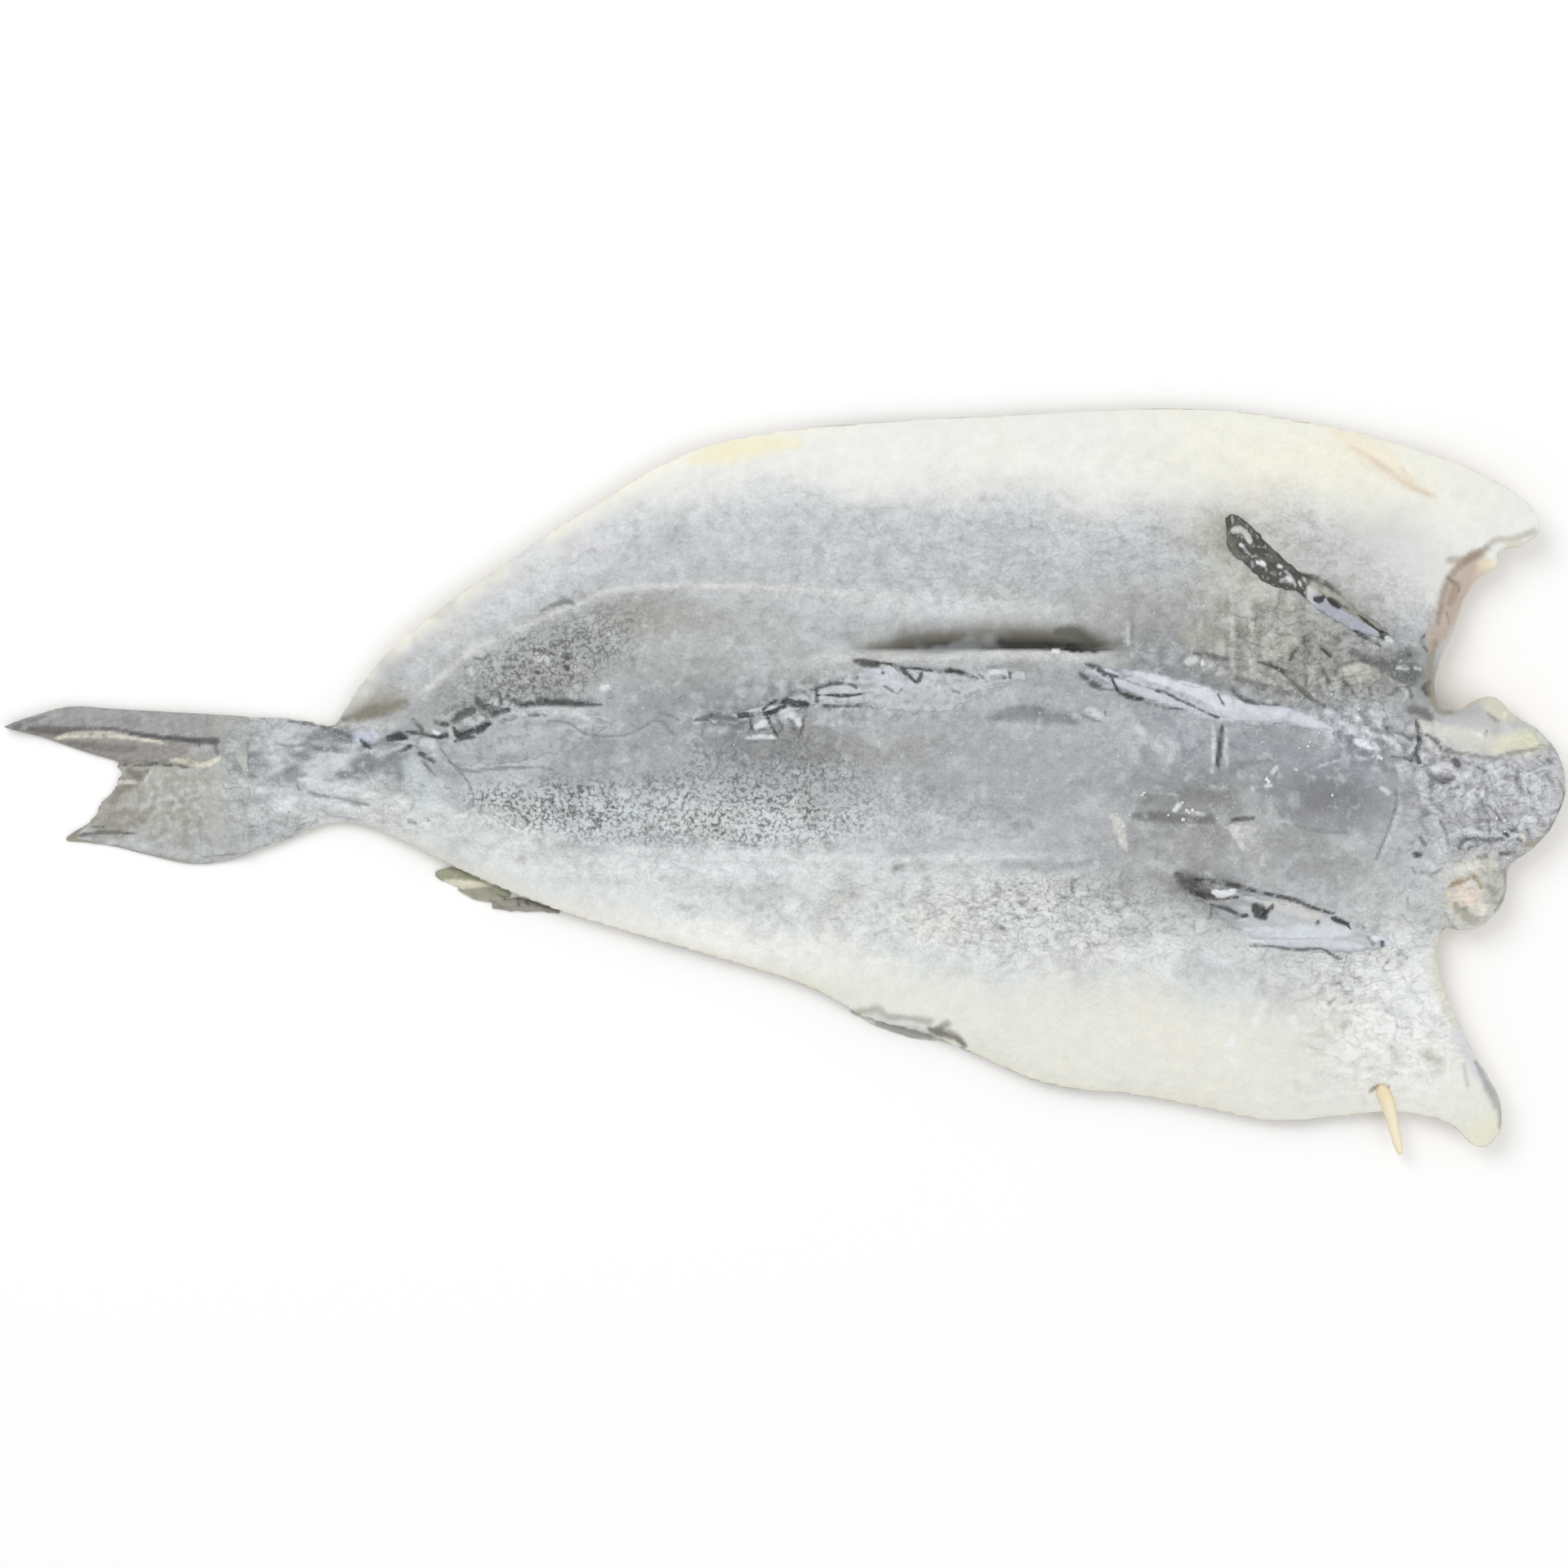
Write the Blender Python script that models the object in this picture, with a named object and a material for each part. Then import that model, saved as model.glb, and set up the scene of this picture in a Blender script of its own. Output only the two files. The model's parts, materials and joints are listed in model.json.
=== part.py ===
"""Split salt cod, head off and opened along the belly, laid flat with its skin side up.

Metres, +Z up. The origin is under the middle of the fish, on the surface that it lies on. The neck cut
faces +X, the tail fin points to -X, and the fish's left side is towards +Y.
Each plate-like piece is a slab over a flat outline: one function gives the height of its upper face and
another the height of its lower face.
"""

import math

import bmesh
import bpy
from mathutils import Vector, kdtree
from mathutils.bvhtree import BVHTree

# Driving dimensions.
LENGTH = 0.600  # tail tip to nape
UNIT = LENGTH / 600  # tables below are in this unit, a millimetre on a fish of this length
GAP = 0.0005  # clearance between neighbouring solids
BODY_CELL = 9.5 * UNIT  # spacing of the body's surface grid
TAIL_CELL = 7.0 * UNIT
FIN_CELL = 5.0 * UNIT

# Body.
FLAP_THICKNESS = 7.0 * UNIT  # wall of the belly flaps
BELLY_RIM = 3.2 * UNIT  # thickness at the belly edges
NECK_RIM = 7.5 * UNIT  # thickness at the neck cut, on the flaps
NAPE_RIM = 6.0 * UNIT  # what the nape adds to that
NAPE_HALF_WIDTH = 30 * UNIT
BELLY_ROUNDING = 11.0 * UNIT  # how far in from the edge the rim reaches the full thickness
NECK_ROUNDING = 6.0 * UNIT
NECK_START = 222 * UNIT  # where the belly edge turns into the neck cut
NECK_FULL = 250 * UNIT
GROOVE_DEPTH = 2.5 * UNIT  # furrow along the back, between the two fillets
GROOVE_HALF_WIDTH = 9.0 * UNIT
TAIL_ROOT = -206 * UNIT  # plane where the tail fin starts
TAIL_ROOT_HALF_WIDTH = 27 * UNIT
TAIL_ROOT_REACH = 20 * UNIT  # how far the root's full section carries on into the body

# Thickest line of the back, and the height and half-width of the muscle over it, along the length.
BACK_LINE = [(-206, 0), (-172, 4), (-140, 12), (-110, 20), (-66, 25), (-3, 30), (31, 38),
             (107, 40), (138, 36), (188, 26), (245, 16), (300, 2)]
BACK_HEIGHT = [(-206, 5), (-172, 10), (-110, 14), (0, 19), (110, 22), (200, 22), (245, 16), (300, 3)]
BACK_HALF_WIDTH = [(-206, 22), (-172, 24), (-110, 44), (0, 62), (110, 76), (200, 78), (300, 60)]

# Flesh side: the channel where the front of the backbone was cut out, and how far the edges curl up.
CHANNEL_START = -30 * UNIT
CHANNEL_END = 262 * UNIT
CHANNEL_RAMP = 30 * UNIT  # length over which it deepens at either end
CHANNEL_DEPTH = 4.5 * UNIT
CHANNEL_HALF_WIDTH = 24 * UNIT
CURL_REACH = 34 * UNIT
CURL_HEIGHT = 3.6 * UNIT
CORNER_CURL = 5.0 * UNIT  # more at the two neck corners
CORNER_REACH = 48 * UNIT
NECK_CORNERS = [(289, 104), (272, -136)]

# The curled lobe of skin beside the nape: a round swelling with a hollow in it.
LOBE_CENTRE = (265, -43)
LOBE_RADIUS = 12 * UNIT
LOBE_HEIGHT = 4.0 * UNIT
HOLLOW_RADIUS = 5.5 * UNIT
HOLLOW_DEPTH = 5.0 * UNIT

# Edge of the body, clockwise from the top of the tail root.
LEFT_EDGE = [(-206, 26), (-190, 25.5), (-174, 22.5), (-158, 46), (-138, 64), (-113, 82), (-75, 107),
             (-38, 128), (-13, 134.5), (25, 139), (88, 142.5), (163, 145), (201, 140), (239, 131),
             (276, 115), (289, 104)]
NECK_EDGE = [(290.5, 97), (283, 91), (273, 90.5), (275.5, 84), (266, 78), (257, 57), (250.5, 41),
             (252, 31), (261, 28.5), (272, 34), (280, 27), (293, 18), (300, 3), (297, -13), (288, -25),
             (279, -32), (278, -43), (272, -52), (262, -56.5), (253.5, -54), (251.5, -65), (256, -83),
             (265, -103), (276.5, -126), (273, -138), (266, -139.5), (258, -132)]
RIGHT_EDGE = [(239, -127), (214, -128.5), (190, -130.5), (163, -125.5), (138, -120.5), (101, -116),
              (75, -105), (56, -97), (31, -90), (13, -80), (-20, -69), (-75, -53), (-98, -45),
              (-127, -32.5), (-151, -20.5), (-172, -15), (-190, -21), (-206, -26.5)]
BODY_CORNERS = {(-206, 26), (-174, 22.5), (290.5, 97), (273, 90.5), (275.5, 84), (261, 28.5),
                (253.5, -54), (-206, -26.5)}

# Tail fin, clockwise from the top of its root. The upper lobe is folded over on itself.
TAIL_EDGE = [(-206, 26), (-232, 27.6), (-261, 29.2), (-276, 30), (-288, 27), (-299.5, 22), (-288, 18.5),
             (-270, 12.2), (-257, 8.5), (-257, 1), (-263, -6), (-268, -14), (-276, -22), (-262, -23.6),
             (-244, -28), (-228, -31), (-214, -29.2), (-206, -26.5)]
TAIL_CORNERS = {(-206, 26), (-299.5, 22), (-257, 8.5), (-276, -22), (-206, -26.5)}
TAIL_TIP_THICKNESS = 2.0 * UNIT
TAIL_LENGTH = 62 * UNIT  # root to where the fin has thinned out
TAIL_ROUNDNESS = 34 * UNIT  # half-width at which the root's arched section would reach zero
FOLD_LINE = [(-300, 21), (-262, 19), (-206, 12)]  # lower edge of the folded lobe
FOLD_HEIGHT = 2.2 * UNIT
FOLD_HALF_WIDTH = 8 * UNIT

# Fins pressed flat on the skin: a line from the base to the tip, with half-widths along it.
LEFT_PECTORAL = [((231, 57), 2.0), ((214, 67), 4.5), ((199, 76), 6.0), ((186, 85), 7.5),
                 ((176, 94), 6.5), ((170, 101.5), 2.5)]
RIGHT_PECTORAL = [((233, -60), 2.5), ((216, -57), 6.5), ((197, -52.5), 8.5), ((176, -45.5), 6.5),
                  ((156, -38), 2.0)]
FIRST_DORSAL = [((217, 22), 3.0), ((188, 25.5), 4.5), ((163, 31), 5.0), ((138, 37), 4.0), ((117, 44), 1.8)]
SECOND_DORSAL = [((88, 41), 2.5), ((60, 41.5), 4.0), ((28, 37), 3.6), ((0, 29), 3.0), ((-34, 24), 1.6)]
THIRD_DORSAL = [((-82, 27.5), 2.2), ((-105, 26), 3.4), ((-128, 22), 3.4), ((-148, 17.5), 2.6),
                ((-163, 16), 1.5)]
PECTORAL_THICKNESS = 2.6 * UNIT
DORSAL_THICKNESS = 3.0 * UNIT
TIP_THINNING = 0.45  # share of its thickness that a fin loses on the way to its tip

# Anal fins: flat on the surface, their roots tucked under the curled-up belly edge.
FIRST_ANAL_EDGE = [(30, -86), (36, -93), (50, -98.5), (61, -101), (70.5, -104), (69, -98), (52, -91)]
SECOND_ANAL_EDGE = [(-134, -35), (-131, -37), (-124, -39.5), (-117, -45), (-111, -48.5), (-98, -50),
                    (-84, -50.5), (-96, -41), (-112, -34.5), (-127, -30.5)]
ANAL_THICKNESS = 1.9 * UNIT

# Pelvic fin: its rays are dried together into one spine, which lies over the belly edge.
PELVIC_SPINE = [((228, -117), 1.5), ((232, -119), 2.4), ((234.5, -130), 1.9), ((237, -139.5), 1.6),
                ((238, -142.5), 1.0)]

COLOURS = {
    "skin": (0.42, 0.43, 0.43, 1.0),
    "tail": (0.33, 0.32, 0.30, 1.0),
    "fin": (0.12, 0.12, 0.11, 1.0),
    "dorsal": (0.36, 0.37, 0.40, 1.0),
    "pale_fin": (0.50, 0.49, 0.40, 1.0),
    "spine": (0.72, 0.60, 0.36, 1.0),
}
ROUGHNESS = 0.62


def smoothstep(low, high, value):
    t = min(1.0, max(0.0, (value - low) / (high - low)))
    return t * t * (3 - 2 * t)


def along(table, x):
    """Value at x of a smooth curve through a table of (x, value) pairs, all in UNIT."""
    x = min(max(x / UNIT, table[0][0]), table[-1][0])
    i = 0
    while i < len(table) - 2 and x > table[i + 1][0]:
        i += 1
    (x0, y0), (x1, y1) = table[i], table[i + 1]
    before, after = table[max(i - 1, 0)], table[min(i + 2, len(table) - 1)]
    t = (x - x0) / (x1 - x0)
    start = (y1 - before[1]) / (x1 - before[0]) * (x1 - x0)
    end = (after[1] - y0) / (after[0] - x0) * (x1 - x0)
    return UNIT * (
        (2 * t**3 - 3 * t**2 + 1) * y0
        + (t**3 - 2 * t**2 + t) * start
        + (3 * t**2 - 2 * t**3) * y1
        + (t**3 - t**2) * end
    )


def clear_scene():
    for obj in list(bpy.data.objects):
        bpy.data.objects.remove(obj)


def make_material(name):
    material = bpy.data.materials.new(name)
    material.use_nodes = True
    shader = material.node_tree.nodes["Principled BSDF"]
    shader.inputs["Base Color"].default_value = COLOURS[name]
    shader.inputs["Roughness"].default_value = ROUGHNESS
    shader.inputs["Metallic"].default_value = 0.0
    return material


def finish_object(obj, collection, material):
    for other in obj.users_collection:
        other.objects.unlink(obj)
    collection.objects.link(obj)
    obj.data.materials.append(material)
    return obj


def outline_points(edge, corners, resolution):
    """Points of a closed Bezier outline through edge, which is in UNIT, smooth except at the corners."""
    curve = bpy.data.curves.new("outline", "CURVE")
    curve.dimensions = "2D"
    curve.fill_mode = "NONE"
    curve.resolution_u = resolution
    spline = curve.splines.new("BEZIER")
    spline.bezier_points.add(len(edge) - 1)
    spline.use_cyclic_u = True
    for point, (x, y) in zip(spline.bezier_points, edge):
        point.co = (x * UNIT, y * UNIT, 0)
        kind = "VECTOR" if (x, y) in corners else "AUTO"
        point.handle_left_type = kind
        point.handle_right_type = kind
    guide = bpy.data.objects.new("outline", curve)
    bpy.context.scene.collection.objects.link(guide)
    bpy.context.view_layer.update()
    mesh = guide.to_mesh()
    points = [vertex.co.copy() for vertex in mesh.vertices]
    guide.to_mesh_clear()
    bpy.data.objects.remove(guide)
    return points


def slab(name, points, top, bottom, cell):
    """Closed mesh object over a flat outline, cut into square cells, between two height functions."""
    shape = bmesh.new()
    corners = [shape.verts.new((p.x, p.y, 0)) for p in points]
    face = shape.faces.new(corners)
    face.normal_update()
    if face.normal.z > 0:
        face.normal_flip()
    for axis in range(2):
        low = min(p[axis] for p in points)
        high = max(p[axis] for p in points)
        count = max(1, round((high - low) / cell))
        normal = Vector((1, 0, 0)) if axis == 0 else Vector((0, 1, 0))
        for i in range(1, count):
            geometry = shape.verts[:] + shape.edges[:] + shape.faces[:]
            place = normal * (low + (high - low) * i / count)
            bmesh.ops.bisect_plane(shape, geom=geometry, dist=0.22 * cell, plane_co=place, plane_no=normal)
    lower = list(shape.verts)
    raised = bmesh.ops.extrude_face_region(shape, geom=shape.faces[:], use_keep_orig=True)
    upper = [item for item in raised["geom"] if isinstance(item, bmesh.types.BMVert)]
    for vertex in upper:
        vertex.co.z = top(vertex.co.x, vertex.co.y)
    for vertex in lower:
        vertex.co.z = bottom(vertex.co.x, vertex.co.y)
    bmesh.ops.recalc_face_normals(shape, faces=shape.faces[:])
    bmesh.ops.triangulate(shape, faces=shape.faces[:])
    mesh = bpy.data.meshes.new(name)
    shape.to_mesh(mesh)
    shape.free()
    mesh.shade_smooth()
    mesh.set_sharp_from_angle(angle=math.radians(50))
    obj = bpy.data.objects.new(name, mesh)
    bpy.context.scene.collection.objects.link(obj)
    bpy.context.view_layer.update()
    return obj


class BodyShape:
    """Heights of the body's two faces, from the distance to its edge and to the line of the back."""

    def __init__(self, points):
        self.edge = kdtree.KDTree(8 * len(points))
        for i, point in enumerate(points):
            after = points[(i + 1) % len(points)]
            for k in range(8):
                self.edge.insert(point.lerp(after, k / 8), 8 * i + k)
        self.edge.balance()

    def inside(self, x, y):
        """Distance in from the edge. The tail root isn't an edge, because the fin carries on from it."""
        distance = self.edge.find((x, y, 0))[2]
        root = smoothstep(TAIL_ROOT_REACH, 0, x - TAIL_ROOT) * (1 - (y / TAIL_ROOT_HALF_WIDTH) ** 2)
        return max(distance, root * along(BACK_HALF_WIDTH, TAIL_ROOT))

    def curl(self, x, y):
        """How far the edges and the neck corners lift off the surface."""
        distance = self.edge.find((x, y, 0))[2]
        belly = smoothstep(TAIL_ROOT + 20 * UNIT, TAIL_ROOT + 70 * UNIT, x)
        lift = CURL_HEIGHT * belly * smoothstep(CURL_REACH, 0, distance)
        for corner_x, corner_y in NECK_CORNERS:
            reach = math.hypot(x - corner_x * UNIT, y - corner_y * UNIT)
            lift += CORNER_CURL * smoothstep(CORNER_REACH, 0, reach)
        return lift

    def bottom(self, x, y):
        span = smoothstep(CHANNEL_START, CHANNEL_START + CHANNEL_RAMP, x)
        span *= smoothstep(CHANNEL_END, CHANNEL_END - CHANNEL_RAMP, x)
        across = (y - along(BACK_LINE, x)) / CHANNEL_HALF_WIDTH
        return self.curl(x, y) + CHANNEL_DEPTH * span * max(0.0, 1 - across**2) ** 2

    def top(self, x, y):
        across = y - along(BACK_LINE, x)
        back = along(BACK_HEIGHT, x) * math.exp(-((across / along(BACK_HALF_WIDTH, x)) ** 2))
        groove = smoothstep(-160 * UNIT, -120 * UNIT, x) * smoothstep(270 * UNIT, 235 * UNIT, x)
        back -= GROOVE_DEPTH * groove * math.exp(-((across / GROOVE_HALF_WIDTH) ** 2))
        neck = smoothstep(NECK_START, NECK_FULL, x) * smoothstep(-137 * UNIT, -115 * UNIT, y)
        nape = math.exp(-((across / NAPE_HALF_WIDTH) ** 2))
        rim = BELLY_RIM + neck * (NECK_RIM - BELLY_RIM + NAPE_RIM * nape)
        rounding = BELLY_ROUNDING + neck * (NECK_ROUNDING - BELLY_ROUNDING)
        full = max(rim, FLAP_THICKNESS + back)
        height = rim + (full - rim) * (1 - math.exp(-self.inside(x, y) / rounding))
        return max(self.bottom(x, y) + BELLY_RIM, self.curl(x, y) + height + self.lobe(x, y))

    def lobe(self, x, y):
        reach = math.hypot(x - LOBE_CENTRE[0] * UNIT, y - LOBE_CENTRE[1] * UNIT)
        swelling = LOBE_HEIGHT * math.exp(-((reach / LOBE_RADIUS) ** 4))
        return swelling - HOLLOW_DEPTH * math.exp(-((reach / HOLLOW_RADIUS) ** 2))


def tail_height(x, y):
    """Upper face of the tail fin, which starts as thick as the body's tail root."""
    out = min(1.0, (TAIL_ROOT - x) / TAIL_LENGTH)
    root = (FLAP_THICKNESS + along(BACK_HEIGHT, TAIL_ROOT)) * (1 - (y / TAIL_ROUNDNESS) ** 2)
    height = TAIL_TIP_THICKNESS + (root - TAIL_TIP_THICKNESS) * (1 - out) ** 1.6
    over = (y - along(FOLD_LINE, x)) / FOLD_HALF_WIDTH
    return height + FOLD_HEIGHT * smoothstep(0.0, 0.25, out) * math.exp(-((over - 0.6) ** 4))


def ribbon(line):
    """Outline of a fin from its centre line and half-widths, in UNIT, with the ends rounded off."""
    centres = [Vector(point) for point, _ in line]
    sides = ([], [])
    for i, (centre, (_, half)) in enumerate(zip(centres, line)):
        heading = (centres[min(i + 1, len(line) - 1)] - centres[max(i - 1, 0)]).normalized()
        normal = Vector((-heading.y, heading.x))
        sides[0].append(tuple(centre + normal * half))
        sides[1].append(tuple(centre - normal * half))
    return sides[0] + sides[1][::-1]


def skin_under(body):
    """Function that gives the highest point of the body's skin near (x, y)."""
    tree = BVHTree.FromObject(body, bpy.context.evaluated_depsgraph_get())
    near = [(0.0, 0.0)]
    near += [(math.cos(a) * FIN_CELL / 2, math.sin(a) * FIN_CELL / 2)
             for a in (k * math.pi / 4 for k in range(8))]

    def height(x, y):
        found = [tree.ray_cast(Vector((x + dx, y + dy, 1)), Vector((0, 0, -1)))[0] for dx, dy in near]
        return max((point.z for point in found if point is not None), default=0.0)

    return height


def make_flat_fin(name, line, thickness, skin):
    """Fin pressed onto the skin, thinner at its tip."""
    points = outline_points(ribbon(line), set(), 2)
    base = Vector(line[0][0]) * UNIT
    reach = (Vector(line[-1][0]) * UNIT - base).length

    def bottom(x, y):
        return skin(x, y) + GAP

    def top(x, y):
        out = min(1.0, (Vector((x, y)) - base).length / reach)
        return bottom(x, y) + thickness * (1 - TIP_THINNING * out)

    return slab(name, points, top, bottom, FIN_CELL)


def make_anal_fin(name, edge):
    points = outline_points(edge, {edge[0]}, 2)
    return slab(name, points, lambda x, y: ANAL_THICKNESS, lambda x, y: 0.0, FIN_CELL)


def make_spine(name, skin):
    """Tapered spine that rests on the flap and reaches out past its edge."""
    curve = bpy.data.curves.new(name, "CURVE")
    curve.dimensions = "3D"
    curve.bevel_depth = UNIT
    curve.bevel_resolution = 2
    curve.resolution_u = 3
    curve.use_fill_caps = True
    spline = curve.splines.new("BEZIER")
    spline.bezier_points.add(len(PELVIC_SPINE) - 1)
    rest = max(skin(x * UNIT, y * UNIT) for (x, y), _ in PELVIC_SPINE[:3])
    widest = max(half for _, half in PELVIC_SPINE) * UNIT
    for point, ((x, y), half) in zip(spline.bezier_points, PELVIC_SPINE):
        point.co = (x * UNIT, y * UNIT, rest + widest + GAP)
        point.radius = half
        point.handle_left_type = "AUTO"
        point.handle_right_type = "AUTO"
    obj = bpy.data.objects.new(name, curve)
    bpy.context.scene.collection.objects.link(obj)
    bpy.context.view_layer.update()
    return obj


def main():
    clear_scene()
    fish = bpy.data.collections.new("salt_cod")
    bpy.context.scene.collection.children.link(fish)
    materials = {name: make_material(name) for name in COLOURS}

    edge = outline_points(LEFT_EDGE + NECK_EDGE + RIGHT_EDGE, BODY_CORNERS, 3)
    shape = BodyShape(edge)
    body = slab("split_body", edge, shape.top, shape.bottom, BODY_CELL)
    finish_object(body, fish, materials["skin"])

    tail_points = outline_points(TAIL_EDGE, TAIL_CORNERS, 3)
    for point in tail_points:
        point.x = min(point.x, TAIL_ROOT - GAP)
    tail = slab("tail_fin", tail_points, tail_height, lambda x, y: 0.0, TAIL_CELL)
    finish_object(tail, fish, materials["tail"])

    skin = skin_under(body)
    for name, line in (("left_pectoral_fin", LEFT_PECTORAL), ("right_pectoral_fin", RIGHT_PECTORAL)):
        finish_object(make_flat_fin(name, line, PECTORAL_THICKNESS, skin), fish, materials["fin"])
    for name, line in (("first_dorsal_fin", FIRST_DORSAL), ("second_dorsal_fin", SECOND_DORSAL),
                       ("third_dorsal_fin", THIRD_DORSAL)):
        finish_object(make_flat_fin(name, line, DORSAL_THICKNESS, skin), fish, materials["dorsal"])
    for name, outline in (("first_anal_fin", FIRST_ANAL_EDGE), ("second_anal_fin", SECOND_ANAL_EDGE)):
        finish_object(make_anal_fin(name, outline), fish, materials["pale_fin"])
    finish_object(make_spine("right_pelvic_fin", skin), fish, materials["spine"])


main()
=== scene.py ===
# Split salt cod laid flat, skin side up: skin, fins, salt and a plain studio

import itertools
import json
import math

import bmesh
import bpy
import numpy as np
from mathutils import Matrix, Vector
from mathutils.bvhtree import BVHTree
from mathutils.kdtree import KDTree

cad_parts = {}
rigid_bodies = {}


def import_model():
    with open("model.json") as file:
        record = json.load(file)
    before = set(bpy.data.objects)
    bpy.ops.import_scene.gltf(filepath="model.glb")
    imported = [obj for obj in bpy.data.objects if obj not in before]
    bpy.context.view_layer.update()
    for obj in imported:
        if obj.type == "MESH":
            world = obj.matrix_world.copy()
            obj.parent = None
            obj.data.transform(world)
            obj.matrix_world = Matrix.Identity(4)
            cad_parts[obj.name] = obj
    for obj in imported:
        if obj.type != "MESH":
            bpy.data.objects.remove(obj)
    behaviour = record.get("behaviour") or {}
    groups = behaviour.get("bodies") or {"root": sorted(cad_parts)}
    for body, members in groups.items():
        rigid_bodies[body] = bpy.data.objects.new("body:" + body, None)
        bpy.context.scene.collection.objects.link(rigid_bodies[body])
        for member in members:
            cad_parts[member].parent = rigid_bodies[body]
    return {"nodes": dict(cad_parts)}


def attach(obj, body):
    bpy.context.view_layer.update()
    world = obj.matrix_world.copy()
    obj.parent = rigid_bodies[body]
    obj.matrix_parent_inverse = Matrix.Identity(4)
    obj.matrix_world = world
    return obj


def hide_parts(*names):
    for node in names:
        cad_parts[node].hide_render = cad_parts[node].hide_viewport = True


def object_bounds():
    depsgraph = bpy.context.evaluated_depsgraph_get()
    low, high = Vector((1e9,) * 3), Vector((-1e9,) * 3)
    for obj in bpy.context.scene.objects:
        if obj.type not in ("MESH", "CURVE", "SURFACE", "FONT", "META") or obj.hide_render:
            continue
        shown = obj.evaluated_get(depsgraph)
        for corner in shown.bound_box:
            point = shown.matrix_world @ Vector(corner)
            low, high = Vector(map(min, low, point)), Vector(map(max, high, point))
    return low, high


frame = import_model()
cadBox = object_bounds()
mm = 0.001
print("frame loaded:", len(frame["nodes"]), "nodes")


def tone(r, g, b):
    # a colour given as 0 to 255, as the linear values that shaders use
    c = np.array((r, g, b), float) / 255
    return np.where(c <= 0.04045, c / 12.92, ((c + 0.055) / 1.055) ** 2.4)


def ramp(low, high, value):
    t = np.clip((value - low) / (high - low), 0, 1)
    return t * t * (3 - 2 * t)


def bumps(points, size, seed):
    # smooth random field, roughly -1 to 1, with bumps of the given size in mm
    rng = np.random.default_rng(seed)
    order = rng.permutation(256)
    slopes = rng.normal(size=(256, 3))
    slopes /= np.linalg.norm(slopes, axis=1)[:, None]
    p = points / size
    cell = np.floor(p).astype(int)
    f = p - cell
    fade = f * f * f * (f * (f * 6 - 15) + 10)
    total = np.zeros(len(p))
    for corner in itertools.product((0, 1), repeat=3):
        c = cell + corner
        pick = order[(order[(order[c[:, 0] & 255] + c[:, 1]) & 255] + c[:, 2]) & 255]
        weight = np.where(corner, fade, 1 - fade).prod(axis=1)
        total += weight * (slopes[pick] * (f - corner)).sum(axis=1)
    return total * 1.7


def stretched(points, angle, along, across):
    # the same points squeezed, so that a field read there runs along the angle
    a = math.radians(angle)
    turned = points.copy()
    turned[:, 0] = (points[:, 0] * math.cos(a) + points[:, 1] * math.sin(a)) / along
    turned[:, 1] = (points[:, 1] * math.cos(a) - points[:, 0] * math.sin(a)) / across
    return turned


def smoothLine(route, step=2.0):
    # points about step mm apart on a smooth curve through the route
    route = np.array(route, float)
    ends = np.vstack((2 * route[0] - route[1], route, 2 * route[-1] - route[-2]))
    points = []
    for a, b, c, d in zip(ends, ends[1:], ends[2:], ends[3:]):
        count = max(2, int(np.linalg.norm((c - b)[:2]) / step))
        t = np.linspace(0, 1, count, endpoint=False)[:, None]
        points.append(0.5 * (2 * b + (c - a) * t + (2 * a - 5 * b + 4 * c - d) * t**2
                             + (3 * b - a - 3 * c + d) * t**3))
    return np.vstack(points + [route[-1:]])


def lineField(xy, route, reach):
    # distance to the line (reach where further off), place along it 0 to 1, and its side, + to the left
    line = smoothLine(route)
    distance = np.full(len(xy), float(reach))
    place = np.zeros(len(xy))
    side = np.ones(len(xy))
    near = np.flatnonzero(((xy > line.min(0) - reach) & (xy < line.max(0) + reach)).all(axis=1))
    here = xy[near]
    best = np.full(len(near), float(reach))
    for i, (a, b) in enumerate(zip(line, line[1:])):
        d = b - a
        t = np.clip(((here - a) @ d) / (d @ d), 0, 1)
        off = here - a - t[:, None] * d
        away = np.hypot(off[:, 0], off[:, 1])
        closer = away < best
        best[closer] = away[closer]
        place[near[closer]] = (i + t[closer]) / (len(line) - 1)
        side[near[closer]] = np.sign(d[0] * off[closer, 1] - d[1] * off[closer, 0])
    distance[near] = best
    return distance, place, side


def oval(xy, centre, size, angle=0.0, power=2.0):
    # soft oval, 1 in the middle and fading out
    a = math.radians(angle)
    d = xy - np.array(centre, float)
    u = (d[:, 0] * math.cos(a) + d[:, 1] * math.sin(a)) / size[0]
    v = (d[:, 1] * math.cos(a) - d[:, 0] * math.sin(a)) / size[1]
    return np.exp(-np.hypot(u, v) ** power)


def getPoints(mesh):
    co = np.empty(len(mesh.vertices) * 3, np.float32)
    mesh.vertices.foreach_get("co", co)
    return co.reshape(-1, 3).astype(float)


def setPoints(mesh, co):
    mesh.vertices.foreach_set("co", co.astype(np.float32).ravel())
    mesh.update()


def getNormals(mesh):
    normals = np.empty(len(mesh.vertices) * 3, np.float32)
    mesh.vertex_normals.foreach_get("vector", normals)
    return normals.reshape(-1, 3).astype(float)


def getEdges(mesh):
    edges = np.empty(len(mesh.edges) * 2, np.int32)
    mesh.edges.foreach_get("vertices", edges)
    return edges.reshape(-1, 2)


def relax(values, edges, rounds, share=0.5):
    # each round pulls a value towards its neighbours' mean; share may differ from point to point
    size = len(values)
    count = np.maximum(np.bincount(edges.ravel(), minlength=size), 1)
    for _ in range(rounds):
        total = np.bincount(edges[:, 0], values[edges[:, 1]], size)
        total += np.bincount(edges[:, 1], values[edges[:, 0]], size)
        values = values + share * (total / count - values)
    return values


def cover(colour, rgb, share):
    # lays a tone over the painted points, by a share from 0 to 1 at each
    colour += (tone(*rgb) - colour) * np.clip(share, 0, 1)[:, None]


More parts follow.
